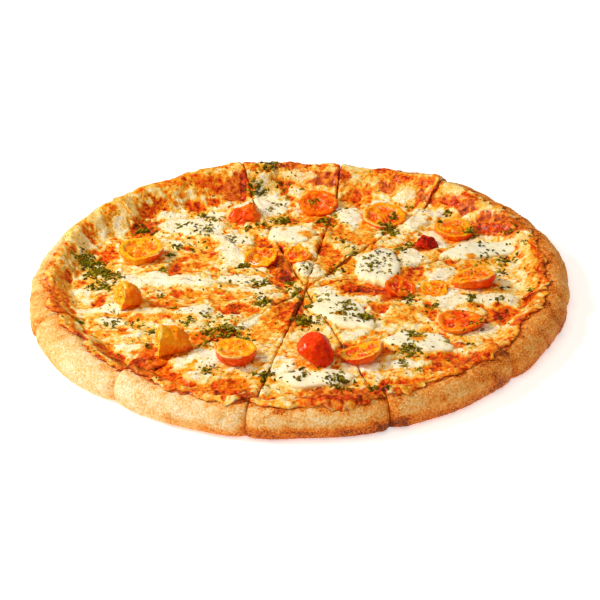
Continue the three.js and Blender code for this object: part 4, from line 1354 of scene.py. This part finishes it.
# How ripe each one is, from 0, yellow, to 1, dark red: its flesh, its jelly, its skin on the
# bright side, on the far side and how much more at the bottom of the skin; then the direction
# of the bright side, of the pale part of the lip and of the wall between the chambers. The
# skin's bright side, far side and bottom carry painted light and shade as well as ripeness,
# and the pale lip is partly a painted highlight
TOMATO_LOOKS = [
    (0.22, 0.42, 0.20, 0.58, 0.0, 200, 20, 30), (0.14, 0.24, 0.26, 0.44, 0.06, 80, 20, 0),
    (0.05, 0.14, 0.24, 0.38, 0.16, 10, 10, 0), (0.24, 0.38, 0.52, 0.70, 0.0, 200, 215, 60),
    (0.26, 0.36, 0.66, 0.76, 0.1, 2, 2, 0), (0.26, 0.66, 0.44, 0.64, 0.0, 0, 325, 30),
    (0.44, 0.68, 0.42, 0.62, 0.0, 200, 150, 80), (0.30, 0.56, 0.50, 0.70, 0.0, 190, 20, 10),
    (0.26, 0.50, 0.50, 0.72, 0.0, 180, 60, 90), (0.30, 0.60, 0.34, 0.56, 0.0, 120, 215, 70),
    (0.50, 0.62, 0.42, 0.66, 0.0, 180, 90, 45), (0.30, 0.44, 0.38, 0.56, 0.1, 200, 200, 0),
    (0.60, 0.70, 0.76, 0.92, 0.1, 90, 90, 0), (0.46, 0.70, 0.46, 0.66, 0.0, 10, 20, 10),
    (0.24, 0.44, 0.34, 0.50, 0.0, 180, 120, 50), (0.28, 0.50, 0.40, 0.62, 0.0, 200, 220, 40),
    (0.30, 0.62, 0.36, 0.50, 0.0, 90, 50, 0),
]
# How far each one has slumped into lumps
SLUMPS = (0.9, 1.3, 1.1, 0.7, 0.6, 1.1, 0.7, 0.7, 0.7, 0.7, 1.6, 2.3, 2.0, 1.5, 1.3, 1.8, 1.4)
print("tomato halves:", len(TOMATOES), "  mean slump in mm:", round(float(np.mean(SLUMPS)), 2))

# %% [markdown]
# ## The skin and flesh of a tomato
#
# A cherry tomato's colour runs from yellow over orange to red, and it is seldom even. One
# number for each point, its ripeness, is enough for skin, flesh and jelly, with a second one
# for the pale line at the lip and round the chambers. A thin coat over scattering flesh
# makes it look wet without turning it to glass.
# Ripeness also carries painted light and shade on the skin; pale, a painted highlight on the lip.

# %% The finish of a tomato
# the pale colour of seeds, chamber borders and the lip, where it is partly a painted highlight
PALE_FLESH = (255, 228, 150)
tomato_recipe = Recipe("cherry_tomato", Roughness=0.26, Specular_IOR_Level=0.18, Subsurface_Weight=0.2,
                       Subsurface_Radius=(0.006, 0.002, 0.001), Subsurface_Scale=0.5,
                       Coat_Weight=0.14, Coat_Roughness=0.1)
tomato_mottle = tomato_recipe.sway(tomato_recipe.noise(2.6, 4, 0.8), 0.13)
tomato_colour = tomato_recipe.ramp(
    tomato_recipe.add(tomato_recipe.value("ripeness"), tomato_mottle),
    (0.0, (255, 206, 50)), (0.2, (255, 176, 14)), (0.42, (255, 128, 1)), (0.62, (252, 80, 0)),
    (0.8, (238, 42, 0)), (1.0, (150, 14, 1)))
tomato_recipe.set("Base Color", tomato_recipe.blend(tomato_recipe.value("pale"), tomato_colour, PALE_FLESH))
tomato_recipe.relief(tomato_recipe.noise(1.2, 3, 0.6), 0.22)
print("nodes in the tomato's recipe:", len(tomato_recipe.tree.nodes))

# %% The seeds in the cut side
SEED_LENGTH, SEED_WIDTH = 1.15, 0.65  # half of each, in mm
SEED_SPACING = 2.2  # a chamber has one seed for so many mm of the tomato's radius


def seeds_in(u, v, radius, chambers, turn, rng):
    """How much of a seed lies at each point of the cut side, from 0 to 1."""
    seeds = np.zeros(u.shape)
    for chamber in range(chambers):
        for _ in range(int(radius / SEED_SPACING)):
            direction = np.radians(turn) + 2 * np.pi * chamber / chambers + rng.uniform(-0.85, 0.85)
            out = radius * rng.uniform(0.3, 0.66)
            lie = rng.uniform(0, np.pi)
            x, y = u - out * np.cos(direction), v - out * np.sin(direction)
            along = (x * np.cos(lie) + y * np.sin(lie)) / SEED_LENGTH
            across = (y * np.cos(lie) - x * np.sin(lie)) / SEED_WIDTH
            seeds = np.maximum(seeds, smooth(1.5 * (1 - np.hypot(along, across))))
    return seeds


print("seeds in a chamber of the largest half:", int(max(row[2] for row in TOMATOES) / SEED_SPACING))

# %% The shape of a half
SKIN_RINGS, FACE_RINGS, TOMATO_SIDES = 30, 44, 120
WALL_SHARE = 0.74  # of the radius, where the thick wall of flesh starts
CORE_SHARE = 0.2
LARGE_RADIUS = 13  # a tomato larger than this has three chambers, not two


def tomato_seed(number):
    """The first of the seeds for one tomato's noise."""
    return 140 + 3 * number


def tomato_shape(number, radius, depth, turn):
    """A half with its cut side up at z = 0: where its points are, and what lies at each."""
    seed = tomato_seed(number)
    chambers = 3 if radius > LARGE_RADIUS else 2
    up_skin = np.linspace(np.pi / 2, 0, SKIN_RINGS)
    inwards = np.linspace(1, 0, FACE_RINGS)[1:]
    r = np.concatenate((radius * np.cos(up_skin), radius * inwards))[:, None]
    z = np.concatenate((-depth * np.sin(up_skin), 0 * inwards))[:, None]
    r, a = np.broadcast_arrays(r, np.linspace(0, 2 * np.pi, TOMATO_SIDES, endpoint=False))
    on_face = np.broadcast_to((np.arange(len(r)) >= SKIN_RINGS)[:, None], r.shape).astype(float)
    share = r / radius
    u, v = r * np.cos(a), r * np.sin(a)
    u, v = u + 0.9 * rough(u, v, 8, seed), v + 0.9 * rough(u, v, 8, seed + 1)

    lobe = np.cos(chambers * (a - np.radians(turn))) + 0.5 * rough(u, v, 5, seed + 2)
    cell = rises(-0.8, -0.3, lobe) * rises(CORE_SHARE, CORE_SHARE + 0.12, share)
    within = rises(WALL_SHARE + 0.06, WALL_SHARE - 0.06, share + 0.05 * rough(u, v, 4, seed + 3))
    cell = cell * within * on_face
    seeds = seeds_in(u, v, radius, chambers, turn, np.random.default_rng(seed)) * cell
    wall = smooth(1 - np.abs(share - 0.87) / 0.14) * on_face
    z = z + 0.025 * radius * wall - 0.07 * radius * cell + 0.5 * seeds
    z = z - 0.03 * radius * smooth((0.95 - share) / 0.4) * on_face
    z = z + 0.35 * on_face * rough(u, v, 2.2, seed + 4)
    return SimpleNamespace(
        u=u, v=v, z=z, a=a, share=share, on_face=on_face, cell=cell, seeds=seeds, wall=wall)


def slump(half, number, radius):
    """The oven's work on a half: it goes out of round, creases and sags into lumps."""
    z, a, share = half.z, half.a, half.share
    seed, sag = tomato_seed(number), SLUMPS[number - 1]
    crease = ridges(9 * a + 0.4 * z, 0.5 * z, 3.2, seed + 5) - 0.7
    swell = 1 + 0.05 * np.sin(2 * a + number) + 0.035 * np.sin(3 * a + 2 * number)
    swell = swell + 0.02 * crease * smooth(2 * share)
    swell = swell + sag / radius * rough(half.u + z, half.v - z, 5, seed + 11)
    half.u, half.v = half.u * swell, half.v * swell
    half.z = z + 0.045 * radius * np.sin(2 * a + 1.3 * number) * share
    half.z = half.z + sag * rough(half.u, half.v, 5, seed + 12) * smooth(2 - 2 * share)


print("points of a half:", (SKIN_RINGS + FACE_RINGS - 1) * TOMATO_SIDES)

# %% The colours and the place of a half


def towards(a, direction):
    """1 where an angle points in a direction given in degrees, and -1 opposite."""
    return np.cos(a - np.radians(direction))


def tomato_tones(half, number, depth, looks):
    """How far each point has ripened and how pale it is, both from 0 to 1, with painted light and shade on
    the skin and a painted highlight on the lip.
    """
    flesh, jelly, skin_bright, skin_far, bottom, bright, pale_side, _ = looks
    u, v, z, a, share, on_face = half.u, half.v, half.z, half.a, half.share, half.on_face
    seed = tomato_seed(number)
    # painted light and shade: the skin is yellower on its bright side, redder on the far side and at the
    # bottom
    skin = mix(skin_far, skin_bright, smooth(0.5 + 0.6 * towards(a, bright) + 0.2 * rough(u, v, 8, seed + 6)))
    skin = skin + bottom * smooth(-z / depth * 1.3) + 0.12 * (ridges(12 * a, 0.2 * z, 5, seed + 7) - 0.7)
    cut = mix(flesh, jelly, np.maximum(half.cell, 0.5 * rises(0.5, 0, share)))
    cut = cut + 0.16 * rough(u, v, 2.5, seed + 8) - 0.04 * half.wall
    edge = rises(0.9, 1.0, share) * on_face
    ripe = mix(skin, mix(cut, skin, 0.4 * edge), on_face)
    # the pale lip line, broken towards one side, is partly a painted highlight
    lip = rises(0.93, 0.97, share) * np.where(on_face > 0, 1, rises(-0.08 * depth, 0, z))
    broken = rises(-0.1, 0.5, towards(a, pale_side) + 0.8 * rough(u, v, 5, seed + 9))
    broken = broken * smooth(1.6 - SLUMPS[number - 1])
    pale = np.maximum(0.8 * lip * broken, 0.4 * half.seeds)
    borders = on_face * half.cell * (1 - half.cell) * 4 * rises(0, 0.5, rough(u, v, 3, seed + 10))
    return ripe, np.maximum(pale, 0.45 * borders)


def with_end_points(values):
    """The first and the last ring have shrunk to a point: both are kept once, at the end."""
    return np.concatenate((values[TOMATO_SIDES:-TOMATO_SIDES], values[[0, -1]]))


def tomato_piece(number, place, looks):
    """A half that is leaned over, turned to its heading and set in the cheese."""
    cx, cy, radius, depth, lean, heading, lift = place
    half = tomato_shape(number, radius, depth, looks[-1])
    slump(half, number, radius)
    ripe, pale = tomato_tones(half, number, depth, looks)
    axis = Vector((-np.sin(np.radians(heading)), np.cos(np.radians(heading)), 0))
    stand = np.array(Matrix.Rotation(np.radians(lean), 3, axis))
    points = np.stack((half.u, half.v, half.z), -1).reshape(-1, 3)
    points = with_end_points(points @ stand.T + (cx, cy, flat_cheese_height(cx, cy)[0] + lift))
    faces = [face[::-1] for face in closed_rings(len(ripe) - 2, TOMATO_SIDES)]
    return stand_in("cherry_", "tomato", number, points, faces, tomato_recipe,
                    ripeness=with_end_points(ripe.ravel()), pale=with_end_points(pale.ravel()))


tomatoes = [tomato_piece(k, *pair) for k, pair in enumerate(zip(TOMATOES, TOMATO_LOOKS), 1)]
print("tomato triangles:", triangles_in(tomatoes))

# %% [markdown]
# ## Dried herbs
#
# The cook finished the pizza with crumbled dried herbs: thousands of flakes the size of a
# fingernail clipping or smaller, thick in tufts where a pinch landed. Blender's particles
# could strew them, but joined meshes are simple, exact and easy to export. Each flake is a
# thin bent plate with twelve corners. To land on whatever is there, a ray is dropped from
# above onto all the pieces made so far, and the flake lies along the face that it hits.

# %% What the herbs fall on
DROP_HEIGHT = 60
LOWEST_LANDING = 3  # what falls into a cut is left out

topped = [*cheeses, *slabs, *tomatoes, *crusts, *sauces]
counts = np.cumsum([0] + [len(piece.data.vertices) for piece in topped])
face_lists = [[int(first) + corner for corner in face.vertices]
              for first, piece in zip(counts, topped) for face in piece.data.polygons]
landscape = BVHTree.FromPolygons(np.concatenate([corners_of(piece) for piece in topped]).tolist(), face_lists)
print("faces to land on:", len(face_lists))


def landing(x, y):
    """The point in mm and the normal under a place, or None where nothing can lie."""
    hit, normal, _, _ = landscape.ray_cast(Vector((x, y, DROP_HEIGHT)) * MM, Vector((0, 0, -1)))
    return (np.array(hit) / MM, np.array(normal)) if hit and hit.z / MM >= LOWEST_LANDING else None


# %% Where the pinches landed, and the finish of a leaf
# x, y, spread and number of flakes
TUFTS = [
    (-140, 39, 9, 330), (-133, 24, 9, 240), (-131, 3, 8, 120), (-123, 17, 7, 90), (-107, 87, 8, 90),
    (-68, 109, 5, 40), (-57, 100, 8, 40), (-82, 90, 8, 30), (-64, 82, 10, 60), (-45, 70, 8, 30),
    (-30, 142, 7, 110), (-19, 163, 8, 90), (-22, 155, 5, 40), (-11, 97, 8, 110), (-22, 90, 6, 30),
    (-35, 87, 4, 30), (-37, 27, 5, 45), (-26, 3, 6, 80), (-92, 24, 4, 35), (-84, 60, 4, 30),
    (-86, 47, 4, 30), (-48, -62, 14, 300), (-37, -72, 7, 80), (-70, -48, 5, 50), (-23, -24, 5, 80),
    (-26, -16, 4, 30), (-93, -58, 4, 50), (-80, -30, 3, 12), (-91, -13, 3, 16), (-94, -77, 4, 14),
    (-139, -48, 3, 25), (-118, -46, 7, 40), (-104, -50, 8, 30), (-56, -108, 6, 45), (-23, -116, 7, 80),
    (22, -126, 8, 120), (-2, -118, 9, 40), (42, -135, 5, 40), (50, -152, 2, 8), (66, -88, 8, 100),
    (70, -70, 7, 60), (62, -105, 5, 25), (72, -113, 3, 14), (90, -79, 4, 16), (110, -63, 5, 25),
    (103, -85, 4, 16), (30, -33, 8, 60), (41, -48, 6, 130), (28, -46, 8, 40), (15, -20, 8, 30),
    (12, -48, 6, 30), (2, -52, 8, 120), (5, -30, 5, 40), (-3, -10, 7, 70), (-6, 2, 5, 40), (70, -22, 7, 60),
    (84, -34, 4, 30), (110, -28, 6, 40), (128, -29, 4, 16), (133, -10, 3, 14), (148, -20, 4, 20),
    (62, 82, 6, 110), (66, 95, 4, 40), (64, 73, 6, 60), (68, 49, 5, 50), (77, 55, 5, 50), (36, 41, 5, 45),
    (22, 90, 4, 20), (18, 97, 4, 45), (30, 64, 4, 20), (36, 52, 4, 16), (118, 68, 6, 80), (104, 102, 4, 20),
    (138, 28, 7, 70), (145, 60, 5, 30), (150, 40, 5, 20), (122, 30, 5, 20), (131, 12, 5, 25),
    (113, 1, 3, 14), (24, 20, 8, 40), (5, 20, 8, 30), (50, 18, 16, 70), (55, 34, 10, 40), (12, 122, 4, 25),
    (22, 133, 3, 12), (60, 118, 3, 18), (78, 115, 3, 14), (97, 80, 3, 12), (-58, -40, 14, 40),
    (-42, 10, 14, 30), (-72, 60, 14, 40), (-10, 148, 10, 30), (-12, 120, 10, 30), (28, 108, 10, 30),
    (-120, -28, 10, 20), (-145, 50, 6, 30), (122, 45, 14, 30),
]
TUFT_DENSITY = 0.6
LOOSE_FLAKES = 1350
LOOSE_REACH = 160  # how far from the middle they fall
HERB_SEED = 7

herb_recipe = Recipe("dried_herb", Roughness=0.75, Specular_IOR_Level=0.06)
leaf_tone = herb_recipe.sway(herb_recipe.noise(1.1, 2), 0.15)
herb_recipe.set("Base Color", herb_recipe.ramp(
    herb_recipe.add(herb_recipe.value("tone"), leaf_tone),
    (0.0, (62, 50, 2)), (0.35, (116, 104, 8)), (0.65, (166, 152, 30)), (1.0, (208, 190, 80))))
herb_recipe.relief(herb_recipe.noise(0.5, 2), 0.1)
print("tufts:", len(TUFTS), "  loose flakes:", LOOSE_FLAKES)

# %% One flake
FLAKE_HALF_THICKNESS = 0.16
FLAKE_FACES = [(0, 2, 3, 1), (2, 4, 5, 3), (6, 7, 9, 8), (8, 9, 11, 10), (0, 1, 7, 6), (4, 10, 11, 5),
               (0, 6, 8, 2), (2, 8, 10, 4), (1, 3, 9, 7), (3, 5, 11, 9)]


def flake_shape(length, width, bend):
    """A bent plate in mm: three pairs of corners on top and three below."""
    x = np.array((-0.5, 0, 0.5)) * length
    z = -bend * (np.array((-1, 0, 1)) ** 2) + bend
    top = []
    for along, up, wide in zip(x, z, (0.45, 1, 0.6)):
        top += [(along, side * width * wide / 2, up + FLAKE_HALF_THICKNESS) for side in (-1, 1)]
    return np.array(top + [(px, py, pz - FLAKE_HALF_THICKNESS) for px, py, pz in top])


print("corners of a flake:", len(flake_shape(3, 1, 0.5)))

# %% Strewing the flakes


def strew(name, places, lengths, lightness, rng):
    """One mesh of flakes, each laid along what it falls on and turned at random."""
    points, faces, tones = [], [], []
    for (x, y, lifted), length in zip(places, lengths):
        found = landing(x, y)
        if found is None:
            continue
        spot, normal = found
        normal = normal + rng.normal(0, 0.27, 3)
        normal[2] = abs(normal[2]) + 0.2
        spin = Matrix.Rotation(rng.uniform(0, 2 * np.pi), 3, "Z")
        turn = Vector(normal).to_track_quat("Z", "Y").to_matrix() @ spin
        shape = flake_shape(length, length * rng.uniform(0.3, 0.65), rng.uniform(0, 0.3) * length)
        faces += [tuple(v + len(shape) * len(points) for v in face) for face in FLAKE_FACES]
        points.append(shape @ np.array(turn).T + spot + np.array((0, 0, lifted)))
        tones.append(np.full(len(shape), lightness * rng.uniform(0.05, 0.95) ** 1.3))
    return new_piece(name, np.concatenate(points), faces, herb_recipe, tone=np.concatenate(tones))


rng = np.random.default_rng(HERB_SEED)
tuft_places, tuft_lengths = [], []
for cx, cy, spread, count in TUFTS:
    for _ in range(int(count * TUFT_DENSITY)):
        dx, dy = rng.normal(0, 0.5, 2) * spread
        near = np.exp(-(dx**2 + dy**2) / (0.5 * spread**2))
        tuft_places.append((cx + dx, cy + dy, rng.uniform(0, 1.1) * near * min(count / 100, 1)))
        tuft_lengths.append(rng.uniform(1.2, 3.8))
tufts = strew("herb_tufts", tuft_places, tuft_lengths, 0.8, rng)
angle = rng.uniform(0, 2 * np.pi, LOOSE_FLAKES)
radius = LOOSE_REACH * np.sqrt(rng.random(LOOSE_FLAKES))
loose_places = np.stack((radius * np.cos(angle), radius * np.sin(angle), 0 * angle), -1)
loose = strew("herb_flakes", loose_places, 0.7 + 1.6 * rng.random(LOOSE_FLAKES) ** 2, 1, rng)
for piece in (tufts, loose):
    print("flakes in", piece.name + ":", len(piece.data.polygons) // len(FLAKE_FACES))

# %% [markdown]
# ## Floor, and the count of pieces
#
# The floor is white and a little overexposed, so that it goes to plain white. It is only a
# stage, so it is marked as one and stays out of the object. Last, the pieces that show and
# their triangles are counted.

# %% Floor
FLOOR_HALF = 6000
FLOOR_DROP = 0.3  # below the pizza, so that the two don't flicker into each other

floor_recipe = Recipe("white_floor", Roughness=0.9, Specular_IOR_Level=0.1, Base_Color=(0.9, 0.9, 0.9, 1),
                      Emission_Color=(1, 1, 1, 1), Emission_Strength=0.5)
sides = ((-1, -1), (1, -1), (1, 1), (-1, 1))
floor_mesh = bpy.data.meshes.new("floor")
floor_mesh.from_pydata([(x * FLOOR_HALF * MM, y * FLOOR_HALF * MM, 0) for x, y in sides], [], [(0, 1, 2, 3)])
floor_mesh.materials.append(floor_recipe.material)
floor = bpy.data.objects.new("floor", floor_mesh)
floor.location.z = -FLOOR_DROP * MM
bpy.context.scene.collection.objects.link(floor)
floor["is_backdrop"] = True
print("pieces:", len(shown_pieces()), "  triangles:", triangles_in(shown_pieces()))
